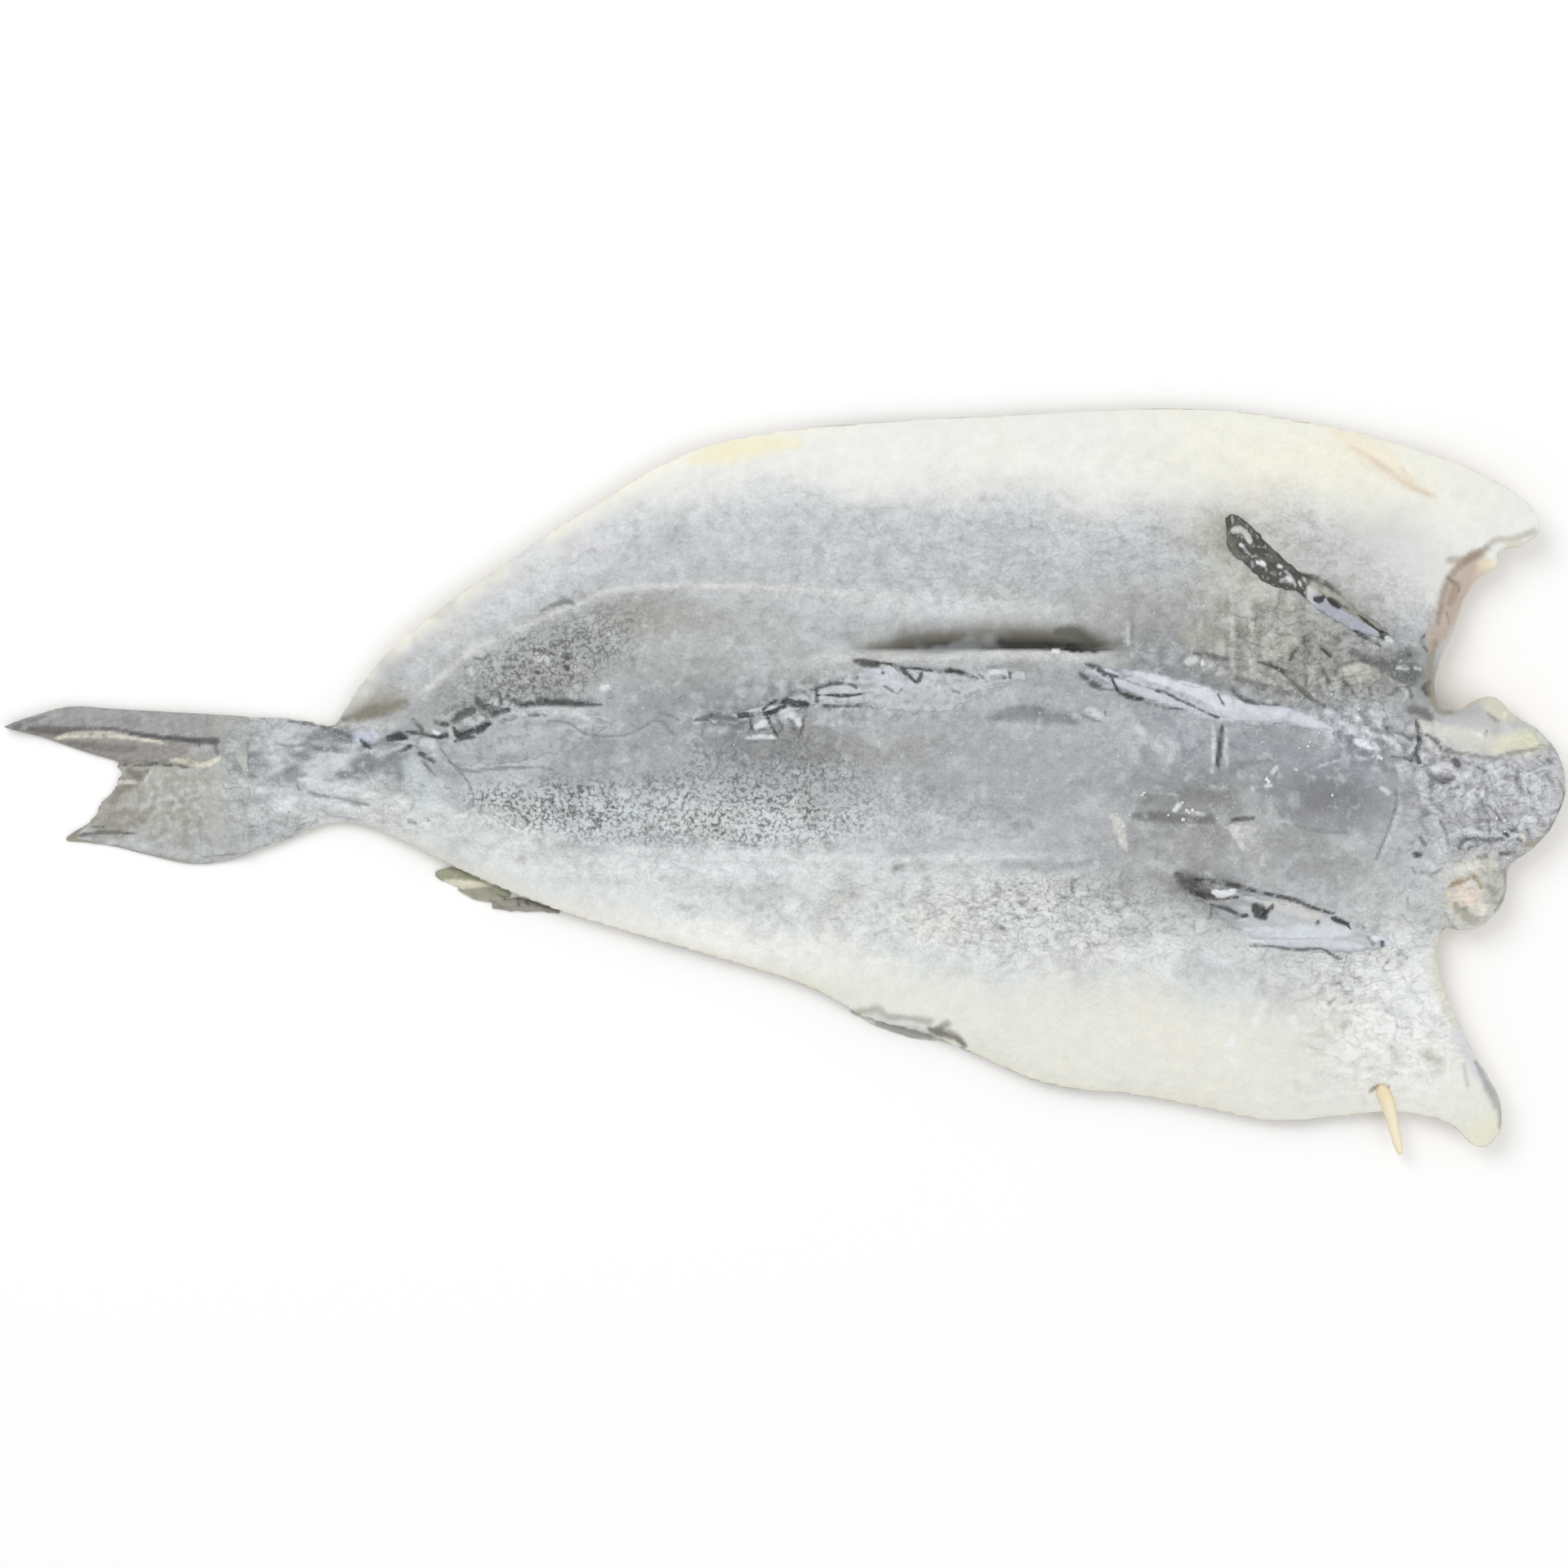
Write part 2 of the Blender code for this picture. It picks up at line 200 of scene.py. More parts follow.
def giveColour(mesh, name, rgb, alpha=1.0):
    layer = mesh.attributes.new(name, "FLOAT_COLOR", "POINT")
    rgba = np.empty((len(rgb), 4), np.float32)
    rgba[:, :3] = rgb
    rgba[:, 3] = alpha
    layer.data.foreach_set("color", rgba.ravel())


def newObject(name, mesh):
    obj = bpy.data.objects.new(name, mesh)
    bpy.context.scene.collection.objects.link(obj)
    return obj


def modified(name, mesh, kind, group=None, **settings):
    # a copy of the mesh with one modifier applied, on the points listed in group where given
    source = newObject(name + "Source", mesh)
    modifier = source.modifiers.new("change", kind)
    for key, value in settings.items():
        setattr(modifier, key, value)
    if group is not None:
        source.vertex_groups.new(name="chosen").add(group, 1.0, "REPLACE")
        modifier.vertex_group = "chosen"
    bpy.context.view_layer.update()
    result = bpy.data.meshes.new_from_object(source.evaluated_get(bpy.context.evaluated_depsgraph_get()))
    bpy.data.objects.remove(source)
    return result


def remeshed(name, nodes, voxel):
    # one closed, evenly spaced skin over copies of CAD nodes
    joined = bmesh.new()
    for node in nodes:
        joined.from_mesh(frame["nodes"][node].data)
    bmesh.ops.remove_doubles(joined, verts=joined.verts, dist=0.01 * mm)
    mesh = bpy.data.meshes.new(name)
    joined.to_mesh(mesh)
    joined.free()
    result = modified(name, mesh, "REMESH", mode="VOXEL", voxel_size=voxel)
    result.name = name
    result.materials.clear()
    return result


def skinFinder(obj):
    # height of an object's upper face at (x, y) in mm
    tree = BVHTree.FromObject(obj, bpy.context.evaluated_depsgraph_get())

    def height(x, y, default=0.0):
        hit = tree.ray_cast(Vector((x * mm, y * mm, 1)), Vector((0, 0, -1)))[0]
        return default if hit is None else hit.z / mm

    return height


# Camera, light and floor

studio = {
    "viewWidth": 603,  # mm of surface across the frame
    "lens": 100,
    "sensor": 36,
    "subjectHeight": 12,  # mm, where that width is measured
    "skyStrength": 0.66,
    # place and size in m, power in W
    "lights": {"keyLight": ((-0.9, 1.0, 1.7), 1.4, 17.5), "fillLight": ((1.3, -0.7, 1.5), 1.6, 8.5)},
    "floorTone": (0.98, 0.98, 0.98),
    "floorRoughness": 0.9,
    "floorDrop": 0.2,  # mm below the fish
}


def makeCamera():
    data = bpy.data.cameras.new("camera")
    data.lens = studio["lens"]
    data.sensor_width = studio["sensor"]
    data.clip_end = 20
    camera = newObject("camera", data)
    away = studio["viewWidth"] * studio["lens"] / studio["sensor"] + studio["subjectHeight"]
    camera.location = (0, 0, away * mm)
    bpy.context.scene.camera = camera


def makeLight(name, place, size, power):
    data = bpy.data.lights.new(name, "AREA")
    data.size = size
    data.energy = power
    light = newObject(name, data)
    light.location = place
    light.rotation_euler = (-Vector(place)).to_track_quat("-Z", "Y").to_euler()


def makeFloor():
    mesh = bpy.data.meshes.new("floor")
    shape = bmesh.new()
    bmesh.ops.create_grid(shape, x_segments=8, y_segments=8, size=3)
    shape.to_mesh(mesh)
    shape.free()
    floor = newObject("floor", mesh)
    floor.location.z = -studio["floorDrop"] * mm
    paper = bpy.data.materials.new("paleFloor")
    paper.use_nodes = True
    shader = paper.node_tree.nodes["Principled BSDF"]
    shader.inputs["Base Color"].default_value = (*studio["floorTone"], 1)
    shader.inputs["Roughness"].default_value = studio["floorRoughness"]
    mesh.materials.append(paper)


def makeStudio():
    makeCamera()
    for name, (place, size, power) in studio["lights"].items():
        makeLight(name, place, size, power)
    world = bpy.data.worlds.new("studio")
    world.use_nodes = True
    sky = world.node_tree.nodes["Background"]
    sky.inputs["Color"].default_value = (1, 1, 1, 1)
    sky.inputs["Strength"].default_value = studio["skyStrength"]
    bpy.context.scene.world = world
    bpy.context.scene.view_settings.view_transform = "Standard"
    makeFloor()


makeStudio()
print("studio ready")


class Graph:
    # short way to wire a node material; sizes are in mm
    def __init__(self, name):
        self.material = bpy.data.materials.new(name)
        self.material.use_nodes = True
        self.tree = self.material.node_tree
        self.shader = self.tree.nodes["Principled BSDF"]
        self.place = self.add("ShaderNodeTexCoord").outputs["Object"]

    def add(self, kind, **settings):
        node = self.tree.nodes.new(kind)
        for key, value in settings.items():
            setattr(node, key, value)
        return node

    def link(self, value, socket):
        if isinstance(value, bpy.types.NodeSocket):
            self.tree.links.new(value, socket)
        elif socket.type == "RGBA":
            socket.default_value = (*value, 1) if len(value) == 3 else value
        else:
            socket.default_value = value

    def math(self, operation, a, b=0.0):
        node = self.add("ShaderNodeMath", operation=operation)
        self.link(a, node.inputs[0])
        self.link(b, node.inputs[1])
        return node.outputs[0]

    def remap(self, value, low, high, newLow=0.0, newHigh=1.0):
        node = self.add("ShaderNodeMapRange", interpolation_type="SMOOTHSTEP")
        for socket, given in zip(node.inputs, (value, low, high, newLow, newHigh)):
            self.link(given, socket)
        return node.outputs[0]

    def mix(self, share, a, b, blend="MIX"):
        node = self.add("ShaderNodeMix", data_type="RGBA", blend_type=blend)
        self.link(share, node.inputs[0])
        self.link(a, node.inputs[6])
        self.link(b, node.inputs[7])
        return node.outputs[2]

    def attribute(self, name):
        return self.add("ShaderNodeAttribute", attribute_name=name)

    def split(self, colour):
        node = self.add("ShaderNodeSeparateColor")
        self.link(colour, node.inputs[0])
        return node.outputs

    def stretch(self, scale, angle=0.0):
        node = self.add("ShaderNodeMapping")
        self.link(self.place, node.inputs["Vector"])
        node.inputs["Rotation"].default_value = (0, 0, math.radians(angle))
        node.inputs["Scale"].default_value = scale
        return node.outputs[0]

    def noise(self, size, detail=2.0, roughness=0.5, distortion=0.0, vector=None):
        node = self.add("ShaderNodeTexNoise")
        self.link(vector if vector is not None else self.place, node.inputs["Vector"])
        node.inputs["Scale"].default_value = 1 / (size * mm)
        node.inputs["Detail"].default_value = detail
        node.inputs["Roughness"].default_value = roughness
        node.inputs["Distortion"].default_value = distortion
        return node.outputs["Fac"]

    def warp(self, amount, size):
        # object place pushed about by up to amount mm
        node = self.add("ShaderNodeTexNoise")
        self.link(self.place, node.inputs["Vector"])
        node.inputs["Scale"].default_value = 1 / (size * mm)
        node.inputs["Detail"].default_value = 1
        shift = self.add("ShaderNodeVectorMath", operation="MULTIPLY_ADD")
        self.link(node.outputs["Color"], shift.inputs[0])
        shift.inputs[1].default_value = (2 * amount * mm,) * 3
        self.link(self.place, shift.inputs[2])
        return shift.outputs[0]

    def cells(self, size, feature="F1", vector=None):
        node = self.add("ShaderNodeTexVoronoi", feature=feature)
        self.link(vector if vector is not None else self.place, node.inputs["Vector"])
        node.inputs["Scale"].default_value = 1 / (size * mm)
        return node

    def finish(self, colour, height, depth, roughness=0.55, strength=1.0):
        bump = self.add("ShaderNodeBump")
        bump.inputs["Strength"].default_value = strength
        bump.inputs["Distance"].default_value = depth * mm
        self.link(height, bump.inputs["Height"])
        self.link(bump.outputs[0], self.shader.inputs["Normal"])
        self.link(colour, self.shader.inputs["Base Color"])
        self.link(roughness, self.shader.inputs["Roughness"])
        return self.material


skinLook = {
    "bloom": (208, 215, 216),  # pale blotches
    "dirt": (140, 138, 138),  # brownish ones
    "salt": (240, 242, 246),
    # the crease lines get painted shade, of the darkness given here
    "creases": ((9.0, 35, 0.25), (5.4, 120, 0.19)),  # spacing in mm, direction, darkness
    "creaseWidth": 0.075,
    "worn": 0.26,  # darkness of the worn streaks
    "speckSize": 2.1,
    "speckDark": 0.64,
    "beadPale": 0.10,
    "bumpDepth": 0.8,
    "bumpStrength": 0.6,
    "roughness": (0.44, 0.66),
}


def skinMaterial(name, grain=0.16, glints=0.6):
    # painted tint with grain, blotches by its alpha, and specks, fine wrinkles and frost by "marks"
    g = Graph(name)
    painted = g.attribute("tint")
    tint, blotchy = painted.outputs["Color"], painted.outputs["Alpha"]
    speckle, wrinkle, frost = g.split(g.attribute("marks").outputs["Color"])[:3]
    coarse = g.noise(5.0, 4, 0.62)
    fine = g.noise(1.1, 3, 0.6)
    bloom = g.math("MULTIPLY", g.remap(g.noise(6.5, 4, 0.68), 0.52, 0.72, 0.0, 0.5), blotchy)
    colour = g.mix(bloom, tint, tone(*skinLook["bloom"]))
    patches = g.noise(8.5, 4, 0.7, 0.5, g.stretch((1, 1.3, 1), 20))
    dirt = g.math("MULTIPLY", g.remap(patches, 0.52, 0.74, 0.0, 0.45), blotchy)
    colour = g.mix(dirt, colour, tone(*skinLook["dirt"]))
    # grain, then creases with painted shade in them, and worn streaks
    rawness = g.math("ADD", g.math("MULTIPLY", blotchy, 0.75), 0.25)
    shade = 1.0
    for roughGrain in (coarse, fine):
        light = g.remap(roughGrain, 0.3, 0.7, -grain * 0.5, grain * 0.5)
        shade = g.math("ADD", g.math("MULTIPLY", light, rawness), shade)
    creases = 0.0
    for size, turn, depth in skinLook["creases"]:
        swirl = g.noise(size, 1, 0.5, 0.6, g.stretch((1, 1.5, 1), turn))
        crease = g.math("ABSOLUTE", g.math("SUBTRACT", swirl, 0.5))
        creases = g.math("ADD", creases, g.remap(crease, 0.0, skinLook["creaseWidth"], depth, 0.0))
    # painted shade in the crease lines
    creases = g.math("MULTIPLY", creases, wrinkle)
    shade = g.math("SUBTRACT", shade, creases)
    worn = g.remap(g.noise(2.4, 3, 0.65, 1.4), 0.54, 0.68, 0.0, skinLook["worn"])
    shade = g.math("SUBTRACT", shade, g.math("MULTIPLY", worn, wrinkle))
    # specks: short dark worms round pale beads
    beads = g.cells(skinLook["speckSize"], "DISTANCE_TO_EDGE", g.warp(1.1, 1.9)).outputs["Distance"]
    broken = g.remap(g.noise(1.8, 2, 0.5), 0.43, 0.57)
    worms = g.math("MULTIPLY", g.remap(beads, 0.02, 0.3, 1.0, 0.0), broken)
    worms = g.math("MULTIPLY", worms, speckle)
    shade = g.math("SUBTRACT", shade, g.math("MULTIPLY", worms, skinLook["speckDark"]))
    paleBeads = g.remap(beads, 0.2, 0.42, 0.0, skinLook["beadPale"])
    shade = g.math("ADD", shade, g.math("MULTIPLY", paleBeads, speckle))
    grey = g.add("ShaderNodeCombineColor")
    for socket in grey.inputs:
        g.link(shade, socket)
    colour = g.mix(1.0, colour, grey.outputs[0], "MULTIPLY")
    saltAt = g.math("MULTIPLY", g.remap(g.noise(0.9, 2, 0.5), 0.64, 0.72, 0.0, glints), frost)
    colour = g.mix(saltAt, colour, tone(*skinLook["salt"]))
    height = g.math("ADD", g.math("MULTIPLY", coarse, 0.5), g.math("MULTIPLY", fine, 0.28))
    for sunk, depth in ((worms, 0.3), (creases, 0.5), (saltAt, -0.25)):
        height = g.math("SUBTRACT", height, g.math("MULTIPLY", sunk, depth))
    rough = g.remap(fine, 0.3, 0.7, *skinLook["roughness"])
    return g.finish(colour, height, skinLook["bumpDepth"], rough, skinLook["bumpStrength"])


# The body

# Line of the back and its fins, and other lines on the skin, in mm from the middle of the fish
backLine = [(-206, 2), (-172, 6), (-140, 14), (-110, 22), (-66, 24), (-3, 30), (31, 38), (107, 38),
            (138, 36), (188, 26), (245, 16), (300, 2)]
upperLateral = [(-145, 31), (-134, 39), (-121, 50), (-108, 57), (-93, 63.5), (-79, 69), (-68, 74),
                (-50, 75.7), (-31, 76.2), (10, 74), (45, 68)]
lowerLateral = [(-185, 1), (-166, -4.5), (-154, -6), (-130, -11), (-112, -15), (-94, -20), (-75, -23),
                (-57, -26), (-31, -27.8), (19, -29.5), (51, -29), (87, -28), (101, -27), (117, -25),
                (127, -24.5)]
slackFold = [(-31, 47), (28, 50.8), (62, 51.2), (86, 52.2), (129, 51)]

# Parts of the skin: middle, size and turn of an oval that fades out at its edge
zones = {
    "nape": ((268, 0), (30, 32), 0),
    "lower corner": ((232, -92), (40, 36), 0),
    "pale of the corner": ((238, -92), (36, 40), 0),
    "shoulder": ((205, 48), (40, 20), -12),
    "stalk": ((-185, 4), (34, 26), 0),
    "streaked stalk": ((-178, 6), (32, 22), 0),
    "upper flank": ((60, 90), (90, 18), 0),
    "smooth upper flank": ((30, 92), (110, 20), 0),
    "lower flank": ((100, -50), (60, 16), 0),
    "plate": ((267, 18.5), (23, 7), -8),
    "raised plate": ((268, 21), (20, 6.5), -8),
    "foot of the third fin": ((-98, 28), (34, 8), 6),
    "foot of the second fin": ((18, 32), (60, 12), 6),
    "foot of the first fin": ((166, 36), (52, 14), -12),
    "swelling by the third fin": ((-104, 15), (24, 6), 6),
    "swelling by the second fin": ((55, 34), (19, 6), 0),
    "crust": ((224, 18), (20, 13), -12),
    "crust by the neck": ((248, 8), (8, 18), 0),
    "crust of the nape": ((274, -8), (28, 16), 0),
    "peach crease": ((231, 120), (16, 2.2), -35),
    "streaked shoulder": ((178, 60), (26, 22), 0),
    "specks": ((-44, -11), (76, 13.5), -3),
    "specks of the shoulder": ((-90, 46), (40, 15), 24),
    "specks by the second fin": ((-2, 6), (42, 13), 0),
    "last specks": ((40, -10), (50, 11), 0),
    "specks by the stalk": ((-92, -9), (30, 10), -6),
    "specks of the lower flank": ((100, -45), (40, 12), 0),
    "smooth lilac": ((205, -5), (26, 14), 0),
    "even grey": ((90, 0), (40, 24), 0),
    "frost before the neck": ((208, 22), (16, 7), -10),
}


def zone(xy, name, power=4):
    return oval(xy, *zones[name], power)


bodyShape = {
    "voxel": 1.6,  # mm between points, halved where the marks run
    "underside": 0.55,  # share of faces kept when the underside is thinned
    "tailCut": -226,  # the scaly skin runs on over the tail fin to about here
    "lateralHeight": 0.85,
    "lateralWidth": 1.5,
    "foldDepth": 4.2,
    "swell": 0.9,  # slow unevenness
    "pucker": 0.32,  # small unevenness
    "crustHeight": 0.9,
    "clumpHeight": 0.7,
    "foldHeight": 0.75,  # fine folds of dried skin
}

# Broad colours, painted in this order: place, size, turn, colour, strength
bodyTints = {
    "frosted back": ((40, 20), (230, 34), 0, (174, 177, 180), 0.9),
    "dark ridge": ((-40, 22), (110, 9), 3, (158, 161, 164), 0.55),
    "ridge forward": ((160, 30), (80, 12), -8, (156, 159, 164), 0.55),
    "back above the ridge": ((-30, 44), (75, 9), 0, (166, 167, 166), 0.65),
    "speckled shoulder": ((-95, 47), (42, 17), 28, (154, 156, 154), 0.8),
    "tail root": ((-215, 0), (15, 30), 0, (172, 173, 170), 0.8),
    "stalk": ((-182, 6), (30, 16), 0, (166, 169, 171), 0.85),
    "stalk shade": ((-155, 12), (16, 8), 10, (138, 142, 147), 0.6),
    "stalk underside": ((-172, -12), (46, 7), -6, (232, 234, 233), 0.9),
    "corner shade": ((-158, 29), (14, 6), 30, (150, 146, 132), 0.85),
    "under the lateral line": ((-50, 64), (26, 8), -4, (162, 161, 154), 0.85),
    "grey run": ((0, 59), (42, 9), 0, (176, 180, 179), 0.75),
    "pale run above the fold": ((50, 70), (48, 7), -4, (214, 217, 217), 0.85),
    "upper flank": ((50, 90), (95, 15), -2, (204, 206, 210), 0.85),
    "upper flank tail end": ((-90, 85), (45, 12), 32, (210, 211, 213), 0.8),
    "upper flank tail edge": ((-128, 62), (20, 9), 42, (206, 206, 204), 0.6),
    "shoulder": ((135, 66), (30, 16), 0, (176, 177, 174), 0.8),
    "khaki shoulder": ((190, 50), (46, 16), -14, (158, 158, 150), 0.9),
    "khaki behind the fin": ((176, 86), (28, 22), -45, (186, 186, 175), 0.85),
    "inner corner": ((226, 88), (26, 20), -30, (196, 196, 193), 0.8),
    "inner corner below": ((216, 66), (18, 8), -40, (176, 175, 168), 0.7),
    "neck shade": ((238, 44), (11, 16), 0, (132, 134, 136), 0.7),
    "lobe of the third fin": ((-104, 15), (27, 8), 6, (184, 188, 191), 0.85),
    "membrane of the second fin": ((55, 34), (20, 7), 0, (202, 206, 210), 0.8),
    "brown run": ((22, 14), (50, 8), 0, (157, 156, 155), 0.75),
    "smudge": ((94, 26), (18, 4), -6, (160, 164, 168), 0.6),
    "even grey": ((98, 2), (44, 20), 0, (168, 171, 174), 0.75),
    "lilac patch": ((208, -4), (29, 16), 0, (112, 114, 120), 0.9),
    "lilac upper": ((196, 13), (40, 9), -6, (146, 148, 158), 0.75),
    "dark mottle": ((158, -3), (30, 12), 0, (130, 132, 134), 0.75),
    "brown grey": ((170, -22), (40, 12), 0, (150, 150, 149), 0.75),
    "below the lilac patch": ((205, -32), (26, 8), 0, (156, 157, 158), 0.7),
    "bright speckled flank": ((-20, -15), (84, 12), -2, (213, 219, 219), 0.85),
    "left of the speckles": ((-112, -8), (40, 9), -8, (202, 206, 207), 0.75),
    "lower flank": ((10, -46), (120, 17), -6, (214, 218, 217), 0.85),
    "lower flank tail end": ((-92, -30), (58, 12), -14, (224, 227, 226), 0.85),
    "mottled lower flank": ((92, -44), (54, 12), -4, (242, 244, 243), 0.8),
    "brighter below": ((96, -60), (84, 12), -4, (240, 242, 239), 0.8),
    "grey before the pectoral": ((135, -38), (24, 9), 0, (176, 177, 177), 0.7),
    "pectoral shadow": ((158, -38), (14, 6), -12, (116, 116, 118), 0.8),
    "below the pectoral": ((190, -74), (52, 12), -4, (214, 217, 218), 0.7),
    "wrinkled corner": ((238, -92), (32, 38), 0, (244, 246, 244), 0.9),
    "nape": ((272, -2), (30, 24), 0, (212, 213, 218), 0.9),
    "nape foot": ((250, -32), (14, 14), 0, (198, 200, 202), 0.7),
    "lobe": ((264, -43), (13, 13), 0, (222, 219, 204), 0.9),
    "lobe speckled side": ((272, -38), (6, 10), 0, (180, 181, 169), 0.7),
    "stalk lower half": ((-182, -4), (32, 9), -4, (240, 242, 244), 0.85),
    "above the third fin": ((-128, 31), (18, 8), 25, (152, 155, 155), 0.6),
    "tail end of the back": ((-66, 13), (20, 8), 2, (146, 149, 151), 0.7),
    "behind the second fin": ((-34, 31), (24, 9), 0, (134, 136, 138), 0.65),
    "under the second fin": ((-6, 15), (26, 10), 2, (126, 128, 130), 0.75),
    "over the first fin": ((141, 50), (18, 15), 0, (132, 135, 137), 0.75),
    "foot of the shoulder": ((172, 43), (14, 8), -10, (142, 144, 144), 0.6),
    "khaki under the fin tip": ((169, 92), (10, 10), -45, (154, 150, 138), 0.6),
    "right of the lilac": ((231, 4), (10, 14), 0, (150, 151, 156), 0.6),
    "root of the right pectoral": ((168, -44), (15, 8), -20, (100, 102, 104), 0.75),
    "bright run": ((-14, -31), (50, 7), -2, (234, 238, 239), 0.7),
    "cream below": ((-34, -60), (64, 10), -8, (246, 246, 242), 0.7),
    "plate": ((264, 17), (23, 6), -8, (222, 221, 210), 0.75),
    "yellow end of the plate": ((284, 15.5), (9, 5), 0, (230, 227, 200), 0.6),
    "knob": ((275, 29), (7, 5.5), 10, (232, 229, 208), 0.8),
    "yellow patch on the rim": ((-17, 129.5), (19, 5), 12, (238, 233, 205), 0.75),
    "cream corner": ((200, 128), (62, 20), -12, (240, 238, 218), 0.6),
    "lilac white by the neck": ((238, 85), (16, 14), -60, (218, 218, 220), 0.6),
    "corner tip": ((270, -134), (7, 7), 0, (230, 229, 205), 0.9),
}

# Grey turns to cream outside these lines
creamAbove = [(-230, 50), (-175, 34), (-150, 58), (-110, 88), (-60, 106), (-15, 112), (40, 110), (80, 112),
              (120, 104), (160, 104), (200, 106), (232, 88), (262, 50), (300, 30)]
creamBelow = [(-230, -44), (-200, -30), (-160, -16), (-125, -26), (-80, -38), (-20, -52), (30, -64),
              (80, -72), (130, -72), (180, -78), (220, -74), (260, -60), (300, -50)]

